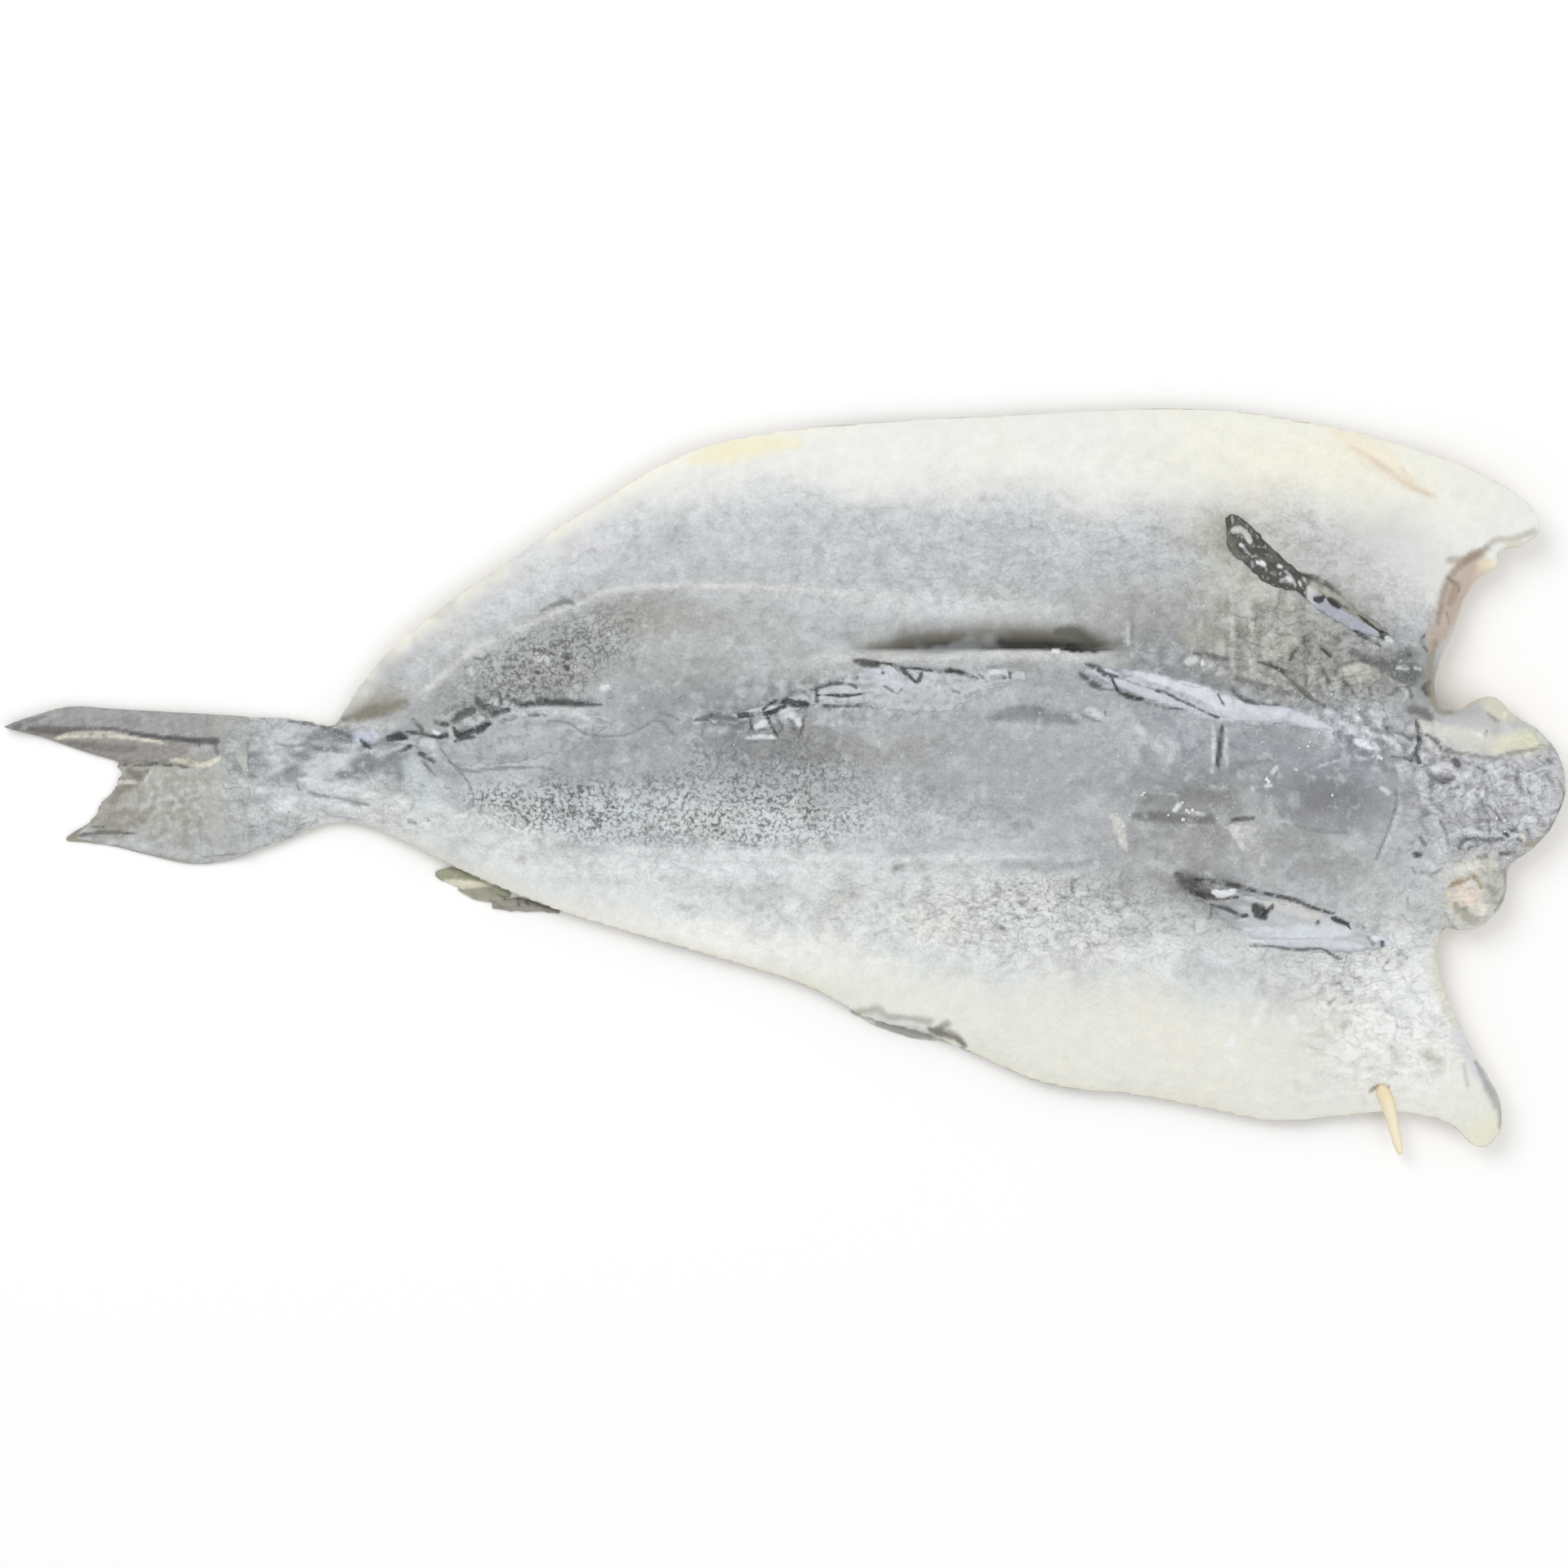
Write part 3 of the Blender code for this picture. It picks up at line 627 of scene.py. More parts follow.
# Marks on the skin: ink, route of (x, y, half-width) in mm, then strength and softness where they aren't
# the usual ones. A number is a grey; dark marks are also cut in and pale ones stand proud.
marks = {"tail": [
    ((126, 116, 98), [(-260, -7, 1.8), (-256, -2, 2.8), (-250, 2, 2.6)], 0.6, 1),
    (104, [(-299, 21, 0.8), (-293, 23.6, 1.2), (-286, 26, 0.8)], 0.6, 0.8),
    # along the two fold steps of the tail the dark lines are partly the fin's dark colour and partly
    # painted shadow under the step, and the cream lines partly painted highlight on the step's edge
    ((104, 98, 94), [(-292, 21.2, 0.9), (-284, 20.9, 1.5), (-279, 20.8, 1.2), (-268, 21.6, 0.8),
        (-256, 21, 0.7)], 0.8, 0.7),
    ((226, 219, 206), [(-281, 17.6, 0.8), (-275, 19, 1.1), (-262, 19.1, 1.1), (-255, 18.3, 1),
        (-247, 17.2, 0.8), (-240, 16, 0.4)]),
    (92, [(-255, 20.4, 0.7), (-248, 19, 0.9), (-241, 18.1, 0.8), (-233, 17.4, 0.9), (-225, 16.8, 1.1),
        (-219, 16.6, 1.3)], 0.85),
    (104, [(-220, 17.4, 1.2), (-219, 13, 0.9), (-217.5, 10.4, 0.6)], 0.75),
    (128, [(-254, 24.6, 1.6), (-249, 24, 1.8)], 0.5, 0.8),
    ((118, 113, 108), [(-277, 16, 1), (-266, 14.4, 1.6), (-252, 13.6, 1.4)], 0.6, 0.9),
    (188, [(-228, 12.5, 1.6), (-223, 14, 1.6)], 0.6, 0.8),
    ((224, 220, 202), [(-237, 9.2, 0.6), (-231, 8.7, 1.1), (-226, 7.4, 1.2), (-222, 7.9, 1.1),
        (-217.5, 10, 0.8)]),
    ((86, 80, 72), [(-256, 7.6, 0.5), (-249, 7.2, 0.8), (-242, 7.6, 0.6), (-234, 7, 0.6),
        (-227, 5.8, 0.4)]),
    ((108, 100, 88), [(-253, 5, 1.6), (-248, 3.2, 1.8), (-246, 5, 0.8)], 0.7, 0.7),
    ((216, 213, 203), [(-257.5, 1, 0.8), (-251, 0.6, 0.7)]),
    ((214, 212, 204), [(-245, 4.6, 0.7), (-247, 1.2, 0.6)], 0.7, 0.5),
    (84, [(-268.4, -16.6, 0.5), (-263, -16.3, 0.4)]),
    ((92, 90, 84), [(-274, -20, 0.5), (-266, -19, 0.9), (-258, -18.8, 0.7), (-250, -19.2, 0.4)], 0.8, 0.5),
    (204, [(-262, -22.4, 0.8), (-250, -23.5, 2), (-238, -26, 2.4), (-226, -28, 1.8)], 0.6, 0.9),
    (146, [(-219, -25.6, 0.6), (-218, -28, 0.5)], 0.6, 0.5),
    (160, [(-212, -4, 3), (-200, -7, 3)], 0.5, 1),
], "stalk": [
    ((106, 113, 118), [(-192, 24.6, 0.5), (-182, 23, 0.8), (-174, 20.8, 0.9), (-167, 18.2, 0.9),
        (-163, 17, 0.5)], 0.8),
    (126, [(-196, 15.6, 0.5), (-190, 14.6, 0.8), (-184, 15.4, 0.7), (-178, 13.4, 0.9),
        (-172, 12.6, 0.5)], 0.7, 0.5),
    (218, [(-186, 1.6, 1), (-177, -0.6, 1.7), (-169, -3.2, 1.7), (-158, -5, 1.2)], 0.75, 0.6),
    (142, [(-185, -1.4, 0.6), (-180, -4.2, 1), (-172, -5.4, 0.7), (-160, -8.2, 0.5)], 0.7, 0.5),
    (112, [(-187, -1, 0.5), (-186.6, -2.4, 0.5)], 0.7),
    (130, [(-197, -0.4, 0.4), (-190, -1, 0.4)], 0.6, 0.5),
    ((226, 228, 228), [(-194, -9.5, 1.4), (-184, -13, 2.2), (-172, -15.6, 1.8)], 0.8, 0.8),
    (206, [(-196, 20, 1.6), (-191, 19.5, 1.2)], 0.6, 0.6),
    ((200, 207, 224), [(-164, 18, 2), (-158, 18.4, 2.2)], 0.8, 0.6),
    (40, [(-162.6, 16.8, 0.7), (-160.6, 14.8, 1), (-158.8, 13.8, 0.6)]),
    ((208, 213, 230), [(-160, 12.8, 0.9), (-157.6, 11.8, 0.8)]),
    (216, [(-156.6, 10.2, 0.9), (-151, 12.8, 0.8), (-146.6, 13.8, 0.7)], 0.8),
    ((126, 130, 134), [(-165, 8.2, 2.5), (-156, 7.5, 3.2), (-149, 8.4, 3), (-147, 3, 2)], 0.75, 0.9),
    (46, [(-151.4, 17.6, 1), (-148, 18.2, 1.6), (-144.8, 17.8, 0.8)]),
    (64, [(-146.8, 12.6, 0.8), (-143.4, 14.4, 0.9)], 0.8),
    (190, [(-143.4, 17.4, 0.8), (-141.8, 15.6, 0.8)], 0.7, 0.5),
    (58, [(-144.6, 19.8, 0.5), (-140, 19.4, 0.7), (-134.6, 18.2, 0.7), (-131.6, 17.6, 0.5)]),
    (70, [(-142, 24.4, 0.6), (-139.6, 21.6, 0.9), (-138, 19.8, 0.6)], 0.8),
    (226, [(-134, 20, 0.8), (-132.4, 19.2, 0.8)]),
    (44, [(-131.8, 18, 0.9), (-129.4, 18.6, 1)]),
    (208, [(-137.4, 15.6, 2), (-134.8, 15, 1.8)], 0.8),
    (66, [(-133.2, 23.6, 0.9), (-129.2, 22.6, 1.1)], 0.85),
    ((202, 211, 211), [(-143, 8, 3), (-140, 0, 4), (-140, -6, 3)], 0.7, 0.9),
    (232, [(-149.6, -10, 1.3), (-148.6, -10.4, 1.3)], 0.7, 0.5),
    (226, [(-146, -8, 1.4), (-144.6, -9, 1.4)], 0.7, 0.5),
    (236, [(-138, -15.6, 1), (-137.2, -17, 1.2)], 0.85),
    (136, [(-144, -14.2, 1.1), (-142, -14.8, 1)], 0.7, 0.5),
    (132, [(-137.4, -13.6, 0.8), (-136.6, -13.8, 0.7)], 0.7, 0.5),
    (150, [(-138.6, -0.2, 0.7), (-138, -0.6, 0.6)], 0.7, 0.5),
    (134, [(-129.6, -1.8, 0.35), (-124.4, -2.1, 0.4)], 0.7),
    ((124, 118, 102), [(-170, 24.8, 1), (-163, 26.4, 2.4), (-156, 28.4, 2.6), (-146, 31, 1.6)], 0.8, 0.9),
    (204, [(-166, 22.4, 1), (-159, 22.6, 1.4), (-150, 22.4, 1.2)], 0.5, 0.6),
], "third fin": [
    # the near-black marks along this fin's edges are painted shadow in the gaps under the folded fin
    (38, [(-127, 21.4, 0.6), (-124.6, 18.8, 1.2), (-120.6, 19.8, 1.1), (-116.6, 21.2, 1.5),
        (-112.4, 23.4, 0.8)]),
    (74, [(-126, 16.4, 0.5), (-122, 17.8, 0.9), (-118.4, 17.9, 0.6)]),
    (140, [(-118, 17.8, 0.3), (-108, 17.8, 0.35), (-98, 18, 0.3)], 0.6, 0.5),
    (82, [(-126.6, 24, 1), (-123, 26.6, 1.7), (-119.4, 28.2, 1.4)], 0.8, 0.5),
    (66, [(-117.6, 32, 1), (-115, 29.4, 1.3), (-112, 29.8, 0.9), (-109.4, 27.4, 1.3),
        (-105.6, 28.2, 1)], 0.85, 0.5),
    (72, [(-112.6, 27.6, 0.7), (-110.4, 25.4, 0.9), (-107.6, 24.6, 0.7)], 0.8),
    (86, [(-109, 34, 0.6), (-108, 30.4, 0.8)], 0.8),
    (96, [(-105.6, 33.4, 0.8), (-102, 31, 1)], 0.75, 0.5),
    (102, [(-130, 27, 0.8), (-127, 29, 1), (-122, 31, 0.8)], 0.6, 0.6),
    (212, [(-112, 31.4, 0.9), (-110.6, 30.8, 0.8)], 0.8, 0.5),
    (204, [(-122.4, 24, 1), (-120.6, 24.8, 1)], 0.8, 0.5),
    (206, [(-117, 25.4, 1), (-115.6, 25.2, 1)], 0.8, 0.5),
    (218, [(-128, 21.4, 0.8), (-127.4, 19.8, 0.8)], 0.8, 0.5),
    (196, [(-106.6, 31.4, 0.9), (-104.8, 29.8, 0.9)], 0.7, 0.5),
    (54, [(-101, 30.2, 0.5), (-94, 30.9, 1.2), (-86, 31.1, 1.4), (-78, 30.6, 1),
        (-70, 30.2, 0.5)], 0.9, 0.75),
    (48, [(-97.4, 26.8, 0.8), (-94.2, 26.7, 0.9)]),
    ((210, 213, 214), [(-112, 24.2, 0.8), (-103, 27, 1.1), (-92, 28.3, 1.4), (-82, 27.6, 1.4),
        (-75, 25, 0.8)], 0.8, 0.6),
    (126, [(-90, 24.2, 0.5), (-83, 23.5, 0.6), (-78.6, 20.8, 0.5), (-75, 19, 0.6), (-68, 18.6, 0.5),
        (-60, 18.8, 0.5), (-54, 21.6, 0.5), (-49, 24.4, 0.6), (-45, 22.6, 0.5),
        (-42, 18.6, 0.4)], 0.75, 0.5),
    (122, [(-132, 14.6, 0.4), (-129.4, 10.4, 0.5), (-125.6, 6.4, 0.7), (-119.4, 4.8, 0.7), (-110, 5.9, 0.6),
        (-98, 6.2, 0.5), (-88, 5.8, 0.4)], 0.75, 0.5),
    (118, [(-125.4, 6, 0.4), (-122, 2, 0.5), (-120, -1.6, 0.5), (-118.8, -7.4, 0.4)], 0.75),
    (78, [(-139.4, 11.8, 0.9), (-137, 10.2, 1.1), (-134.2, 8.4, 0.8)], 0.85),
    (104, [(-138.6, 9, 0.5), (-136, 5.6, 0.6), (-133.8, 3.4, 0.4)], 0.8),
    (150, [(-134, 6, 2), (-129, 4, 2.4), (-124, 0, 1.6)], 0.5, 0.9),
    (226, [(-69, 36.6, 1.3), (-67.6, 37, 1.2)], 0.85, 0.5),
    (116, [(-93, 66.6, 0.5), (-88, 69, 1), (-83.4, 70.4, 1.2), (-80, 68.8, 0.6)], 0.75, 0.6),
    (130, [(-86.4, 73.6, 0.7), (-84.6, 71.6, 0.7)], 0.6, 0.6),
], "shoulder": [
    (208, [(-95, 48.6, 1.6), (-90, 47.6, 2.2)], 0.7, 0.6),
    (92, [(-96, 51.4, 0.7), (-92, 50.8, 0.8), (-87.6, 49.2, 0.7), (-88.6, 45, 0.6)], 0.7, 0.5),
    (206, [(-120.4, 43.6, 1.5), (-119.4, 42.6, 1.4)], 0.8, 0.5),
    (90, [(-122.4, 44.4, 0.5), (-119.8, 45.6, 0.6), (-117.8, 43.6, 0.6), (-119, 41, 0.5)], 0.7, 0.5),
    (204, [(-117, 49.8, 1.5), (-115.4, 50.4, 1.2)], 0.7, 0.5),
    (96, [(-118.8, 48.4, 0.6), (-115.4, 47.8, 0.6), (-113.2, 50, 0.5)], 0.7, 0.5),
    (78, [(-84.4, 49.4, 0.8), (-81.6, 48.2, 0.9)], 0.75, 0.5),
    (74, [(-83.6, 44.8, 1.1), (-82.6, 44.6, 1)], 0.75, 0.5),
    (204, [(-80.6, 44.4, 1.3), (-79, 43.6, 1.3)], 0.7, 0.5),
    (88, [(-97, 43.6, 0.7), (-94.4, 42.6, 0.8)], 0.7, 0.5),
    (92, [(-103, 54.6, 0.7), (-99.6, 55.8, 0.7)], 0.7, 0.5),
    (96, [(-107.6, 44.4, 0.7), (-103.6, 44.8, 0.7)], 0.7, 0.5),
    (200, [(-72.8, 43.4, 1.2), (-72, 43, 1.1)], 0.7, 0.5),
    (124, [(-57.6, 48.6, 1), (-57.4, 43.6, 1)], 0.6, 0.8),
    (130, [(-79.6, 57, 0.8), (-77, 56.4, 0.8)], 0.6, 0.6),
    (96, [(-112.6, 49, 0.5), (-112.4, 43.6, 0.6)], 0.6, 0.5),
], "second fin": [
    # the near-black marks along this fin's edges are painted shadow in the gaps under the folded fin
    (104, [(-47, 27.2, 0.5), (-43, 26, 0.9), (-40, 24.2, 0.6)], 0.7, 0.6),
    (134, [(-40, 33, 0.8), (-37.6, 29, 0.8)], 0.6, 0.6),
    (88, [(-34, 24.4, 0.6), (-28, 25.6, 1.1), (-22.4, 25.2, 1.3), (-18, 24.6, 0.8)], 0.8, 0.6),
    (110, [(-30.6, 23.4, 0.4), (-31, 18.6, 0.4)], 0.6, 0.5),
    (122, [(-24, 22.8, 1.2), (-15, 22.6, 1.6)], 0.6, 0.8),
    (34, [(-17.2, 26, 1.1), (-13.4, 26.5, 1.2)]),
    (58, [(-13.6, 26.4, 0.9), (-8.6, 26.8, 1), (-5.6, 27.2, 0.8)]),
    (36, [(-8, 28.4, 0.5), (-4.4, 31, 0.7), (0.8, 31.6, 1.2), (5, 30.6, 1.4), (9, 30.4, 0.9)]),
    (36, [(-6, 27, 0.8), (-2.6, 28.2, 1.1), (0.6, 30, 1)]),
    (206, [(-5.2, 29.2, 0.7), (-3.4, 29.8, 0.6)]),
    (220, [(-10.4, 21.8, 1), (-7.4, 23.2, 1.5), (-6, 22.6, 0.8)]),
    (72, [(-12.6, 24.6, 0.6), (-12.4, 20, 0.6)]),
    (80, [(-9.6, 20.4, 0.5), (-7, 21, 0.6)], 0.8, 0.5),
    (66, [(-6.6, 26.6, 0.6), (-4.6, 21.6, 0.6), (-2.2, 18, 0.5)]),
    (228, [(-14, 17.8, 0.5), (-9, 18.1, 0.9), (-3.6, 17.8, 0.6)]),
    (132, [(-14, 16.2, 0.5), (-4, 16.1, 0.7), (2, 17, 0.4)], 0.6, 0.7),
    (98, [(-2.6, 24.8, 0.6), (-0.4, 21.4, 0.6), (-1.4, 20.2, 0.5)], 0.8, 0.5),
    (216, [(-0.6, 27, 1.4), (3.4, 26.4, 1.4)], 0.8, 0.6),
    (78, [(1.6, 24.6, 0.5), (4.4, 22.6, 0.5), (4, 20.6, 0.4)], 0.8),
    (232, [(5, 24, 1.1), (5.8, 22.4, 1)]),
    (88, [(7.6, 25.4, 0.5), (7, 21.6, 0.7), (5.6, 17.8, 0.5)], 0.85),
    (130, [(3, 34, 0.8), (6, 35.6, 0.9), (9.6, 33.4, 0.7)], 0.6, 0.6),
    (90, [(10, 35.6, 0.5), (15, 37.2, 0.6), (20, 38.4, 0.8), (25.4, 38, 0.7),
        (27.6, 36.8, 0.8)], 0.85),
    (78, [(12.4, 36.4, 0.6), (12.6, 31.6, 0.9)], 0.85),
    (46, [(12.6, 33.9, 0.4), (18, 33.9, 0.5), (22, 33.7, 0.9), (26.6, 33.9, 0.5), (34, 35.2, 0.35)]),
    (76, [(15.4, 30, 0.7), (20, 29.8, 0.4), (25, 29.8, 0.6), (31.4, 30, 0.7)], 0.85),
    (96, [(26.6, 40.4, 0.8), (28, 40.6, 0.7)], 0.75, 0.5),
    (130, [(22.4, 40.2, 0.7), (23.6, 40.6, 0.7)], 0.6, 0.5),
    (140, [(31.4, 40.2, 0.7), (32.8, 40.4, 0.6)], 0.6, 0.5),
    ((207, 212, 223), [(36, 42, 2.6), (40, 39, 3.4), (44, 37, 2)], 0.75, 0.8),
    (82, [(27.4, 46.8, 0.9), (31, 46.1, 1.4), (35.4, 45.6, 1.2)]),
    (62, [(35, 46.4, 0.5), (40, 45.8, 0.5), (44.6, 43.6, 1.1), (47.6, 41.4, 0.8), (50, 38.8, 0.7)]),
    (70, [(50, 38.9, 0.7), (51.4, 39.6, 0.9), (52.6, 42.8, 0.5)]),
    (56, [(44, 44.4, 0.5), (50, 44, 0.5), (58, 43.2, 0.8), (66, 42.9, 1), (70.4, 41.4, 1),
        (73.4, 40.2, 0.8)]),
    (40, [(37.4, 44, 0.5), (37.5, 42.2, 0.7)]),
    (96, [(38.4, 37.2, 0.6), (41, 35.6, 0.6), (43.2, 34.4, 0.5), (44.8, 36, 0.4)], 0.8),
    (104, [(74.4, 41.6, 0.6), (76.2, 40.4, 0.7)], 0.8),
    (220, [(79.2, 42.8, 0.9), (84.8, 42.6, 0.9)]),
    (84, [(79, 40.4, 0.8), (84.2, 40.6, 0.7)], 0.85),
    (84, [(86, 42.6, 0.6), (86.2, 40.6, 0.6)], 0.85),
    (136, [(77.4, 44.4, 0.6), (83, 44.8, 0.7)], 0.7, 0.5),
    (150, [(60.6, 41, 0.6), (62.4, 37.8, 0.6)], 0.7, 0.6),
    (124, [(64.6, 35.4, 0.6), (66.8, 34.7, 0.7)], 0.75, 0.5),
    (152, [(84, 45.8, 0.8), (92, 44.6, 1.4), (98.6, 41.6, 1.1)], 0.6, 0.8),
    (124, [(79, 24.6, 1.2), (86, 26.6, 2.4), (94, 26.6, 2.8), (103, 25.4, 2.4),
        (111, 23.6, 1.2)], 0.75, 0.9),
    (118, [(85, 28.9, 0.5), (92, 29, 0.8), (100, 28.2, 0.5)], 0.6, 0.6),
    ((142, 140, 140), [(-12, 11, 0.35), (-11.2, 5, 0.45), (-10.2, 0, 0.5), (-8.4, -4.8, 0.5),
        (-6.6, -6.6, 0.4)], 0.7, 0.5),
    ((150, 143, 132), [(42, -34, 0.6), (43, -32, 0.8), (45.4, -31.6, 0.6)], 0.6, 0.6),
    (150, [(54, -2.2, 0.8), (57, -2.6, 1)], 0.6, 0.6),
], "fold": [
    (252, [(102.8, 50.8, 1), (104.2, 50.7, 1)]),
    # the black and dark marks along the groove are painted shadow
    (30, [(107, 51.2, 0.5), (112, 50.7, 0.9), (118.4, 50.6, 0.8)]),
    ((96, 97, 88), [(104, 58, 1.2), (111, 58, 2.4), (115, 54.4, 2.6), (119, 52, 1.6)], 0.75, 0.9),
    ((112, 114, 106), [(121, 52.6, 1.2), (128.4, 53.8, 1.8)], 0.7, 0.8),
    (206, [(131, 62, 0.7), (131.2, 53, 0.8)], 0.7, 0.5),
    (134, [(132.6, 62, 0.4), (132.7, 54, 0.7), (134, 51.6, 0.4)], 0.75, 0.5),
    ((202, 202, 196), [(170.4, 76, 0.6), (170.8, 60, 1.1), (170.4, 44, 1)], 0.7, 0.6),
    (132, [(168.4, 60, 0.3), (168.6, 46, 0.5)], 0.6, 0.5),
    ((164, 163, 154), [(154, 56, 3), (164, 56, 3.4)], 0.7, 0.9),
    (94, [(156, 49.8, 0.6), (162, 49, 1.1), (168.6, 47.4, 0.9)], 0.8, 0.5),
    (216, [(153.6, 46.6, 1.1), (156.4, 47.2, 1.3)], 0.75, 0.6),
    (250, [(159.2, 46.6, 0.8), (159.4, 45.8, 0.8)]),
    (208, [(162.6, 45.4, 1.2), (163.6, 44.6, 1)], 0.7, 0.5),
    (210, [(166, 44.4, 0.9), (167, 43.8, 0.8)], 0.7, 0.5),
    (206, [(165, 42.2, 0.8), (168, 42.4, 0.8)], 0.7, 0.5),
    (132, [(136, 46.4, 1), (146, 43.4, 1.8), (158, 40.4, 1.8), (170, 36.6, 1.6)], 0.7, 0.8),
], "first fin": [
    ((218, 222, 230), [(134, 42, 0.6), (141, 40.6, 1.5), (148, 38.2, 1.6), (155, 36.2, 2),
        (162, 33.4, 2.6), (168, 30, 2.8)], 0.9, 0.3),
    ((204, 208, 218), [(127, 38.6, 1), (136, 36.2, 1.6), (144, 33, 1.6), (152, 29.6, 1.5),
        (163, 25.6, 1)], 0.8),
    ((211, 214, 223), [(168, 27.8, 3.4), (178, 27.2, 3.3), (188, 26.6, 3), (196, 25, 2.4), (203, 23, 1.8),
        (208, 20.8, 1)], 0.9, 0.3),
    (222, [(167.6, 33.2, 0.7), (171, 32.2, 1), (174.6, 31, 0.7)]),
    # the near-black marks along this fin's edges are painted shadow in the gaps under the folded fin
    (84, [(115, 45.6, 0.6), (119, 44.2, 0.9), (122.4, 41.8, 1.2), (127, 40.8, 0.6)]),
    (70, [(112.8, 41.8, 0.9), (115.6, 40.2, 1)], 0.85),
    (72, [(116.6, 38.6, 1.1), (120, 37.4, 0.9)], 0.85),
    (110, [(117, 37, 0.4), (122, 36, 0.6), (127, 36, 0.4)], 0.8),
    (46, [(125, 40, 0.5), (126.4, 37, 0.7), (128.4, 34.6, 0.7), (132, 33.2, 1), (136.4, 32.2, 0.9)]),
    (104, [(136.6, 32, 0.6), (141, 30.2, 0.6), (147, 28.8, 0.5), (153, 28.4, 0.4)], 0.85),
    (122, [(127, 40.6, 0.4), (134, 38, 0.4), (142, 35.6, 0.4)], 0.7),
    (60, [(142, 35.5, 0.8), (144.4, 34.8, 0.7)]),
    (90, [(144.6, 35, 0.5), (149.4, 32.5, 0.6), (155, 30, 0.6), (160.4, 27.4, 0.5), (165.6, 25.2, 0.6)]),
    (100, [(165.4, 34.2, 0.4), (166.2, 32.4, 0.5), (167.2, 30.4, 0.5)], 0.85),
    (96, [(170, 36.4, 0.8), (173, 33.8, 0.9), (176, 31.8, 1), (181, 30.8, 0.8),
        (189, 30, 0.4)], 0.85),
    ((148, 150, 160), [(140, 26.4, 1), (145, 25, 1.8), (148.6, 22.4, 1.2)], 0.75, 0.7),
    ((146, 148, 157), [(150.6, 20, 0.8), (151.4, 14, 1.2), (154, 11.2, 1.4), (159, 15.4, 1.2)], 0.75, 0.7),
    (84, [(166.8, 22, 0.7), (166.2, 15, 1), (165.4, 9, 1), (165.8, 5.6, 0.6)]),
    (212, [(163.4, 22, 0.6), (163.6, 12, 0.9), (163, 4.4, 0.6)], 0.85),
    ((208, 210, 216), [(168.2, 21, 0.7), (168.6, 12, 0.9), (169, 6.8, 0.6)], 0.85),
    (120, [(171, 6, 1.6), (177, 8, 1.2), (186, 9, 1)], 0.5, 0.9),
    (214, [(135, 21, 1.6), (136.4, 19.6, 1.5)], 0.7, 0.7),
    (208, [(141.6, 15, 1.8), (143, 13, 1.5)], 0.7, 0.7),
    (206, [(146, 17, 1.2), (148, 14, 1.4), (147, 9, 1.2)], 0.6, 0.7),
    (138, [(137, 13.6, 1.6), (138, 10, 1.8)], 0.65, 0.8),
    (214, [(110.6, 26, 1.2), (112, 25, 1.1)], 0.7, 0.6),
    (208, [(115.6, 28.4, 1), (119, 27, 1.3), (122.6, 24.6, 0.9)], 0.75, 0.5),
    (118, [(113.6, 26.4, 0.6), (117, 24.8, 0.7), (120, 23.8, 0.5)], 0.75, 0.5),
    (104, [(122.4, 28.4, 0.4), (122.8, 25.6, 0.4)], 0.8),
    (196, [(126, 30, 1.4), (131, 27, 1.8), (134, 24, 1.2)], 0.5, 0.7),
], "khaki shoulder": [
    ((80, 82, 76), [(180, 46.6, 0.4), (185.6, 45.2, 0.7), (189.6, 43.2, 1), (193.4, 42.4, 0.6)]),
    ((104, 106, 100), [(190, 42.4, 0.5), (193, 39.4, 0.8), (197, 36, 1.1), (201, 32.6, 0.9),
        (206, 29.6, 0.5)], 0.85),
    ((84, 86, 78), [(192.6, 46.4, 0.5), (194.6, 50.4, 0.8), (196.4, 52, 0.5)], 0.85),
    ((100, 102, 94), [(198.4, 56, 0.4), (199.4, 51, 0.6), (202.6, 48.6, 0.7), (204.6, 45, 0.6),
        (206.4, 41.6, 1), (208, 38, 0.5)], 0.85),
    ((74, 76, 68), [(205, 51.8, 0.6), (208.6, 49, 0.9)]),
    ((126, 128, 120), [(196, 52, 0.4), (198.6, 44, 0.5), (198.8, 36, 0.5)], 0.7, 0.5),
    ((98, 100, 92), [(213.4, 39, 0.6), (216, 36.4, 0.8), (217.4, 34, 0.5)], 0.8, 0.5),
    ((76, 78, 72), [(223.6, 36.2, 0.7), (223.8, 34.4, 1.1)], 0.85),
    ((204, 204, 194), [(213, 42.6, 1.5), (219, 44, 2), (226, 43, 1.9), (223, 40.4, 1.4),
        (216, 40.6, 1.4)], 0.75, 0.6),
    ((120, 121, 114), [(210, 41, 0.5), (212, 45, 0.5), (219, 47, 0.5), (227, 46, 0.6),
        (230.4, 42.6, 0.5)], 0.7, 0.5),
    ((206, 207, 202), [(229.4, 42, 0.6), (233.4, 38.8, 0.8), (237, 37.4, 0.6)], 0.8),
    ((190, 190, 180), [(186, 49, 1.6), (190, 51, 1.4)], 0.6, 0.7),
    ((192, 192, 182), [(201, 44, 1.4), (201.6, 39, 1.3)], 0.65, 0.7),
    ((190, 190, 182), [(210, 40, 1.1), (211, 36, 1)], 0.6, 0.7),
    ((188, 189, 181), [(176, 42, 1.3), (181, 40.6, 1.2), (187, 38, 1.1)], 0.6, 0.7),
    ((110, 112, 108), [(172, 40, 0.9), (180, 37.6, 1.1), (190, 35, 1.2), (198, 33, 0.9)], 0.6, 0.7),
    ((130, 130, 120), [(207, 58, 0.5), (211.6, 55, 0.7)], 0.6, 0.6),
], "before the neck": [
    ((108, 110, 111), [(217, 50.6, 1.2), (225, 46.6, 2), (233, 43.6, 3.4), (241, 42, 3.6)], 0.85, 0.8),
    ((118, 119, 116), [(236, 50, 2.4), (242, 49, 2.2)], 0.6, 0.9),
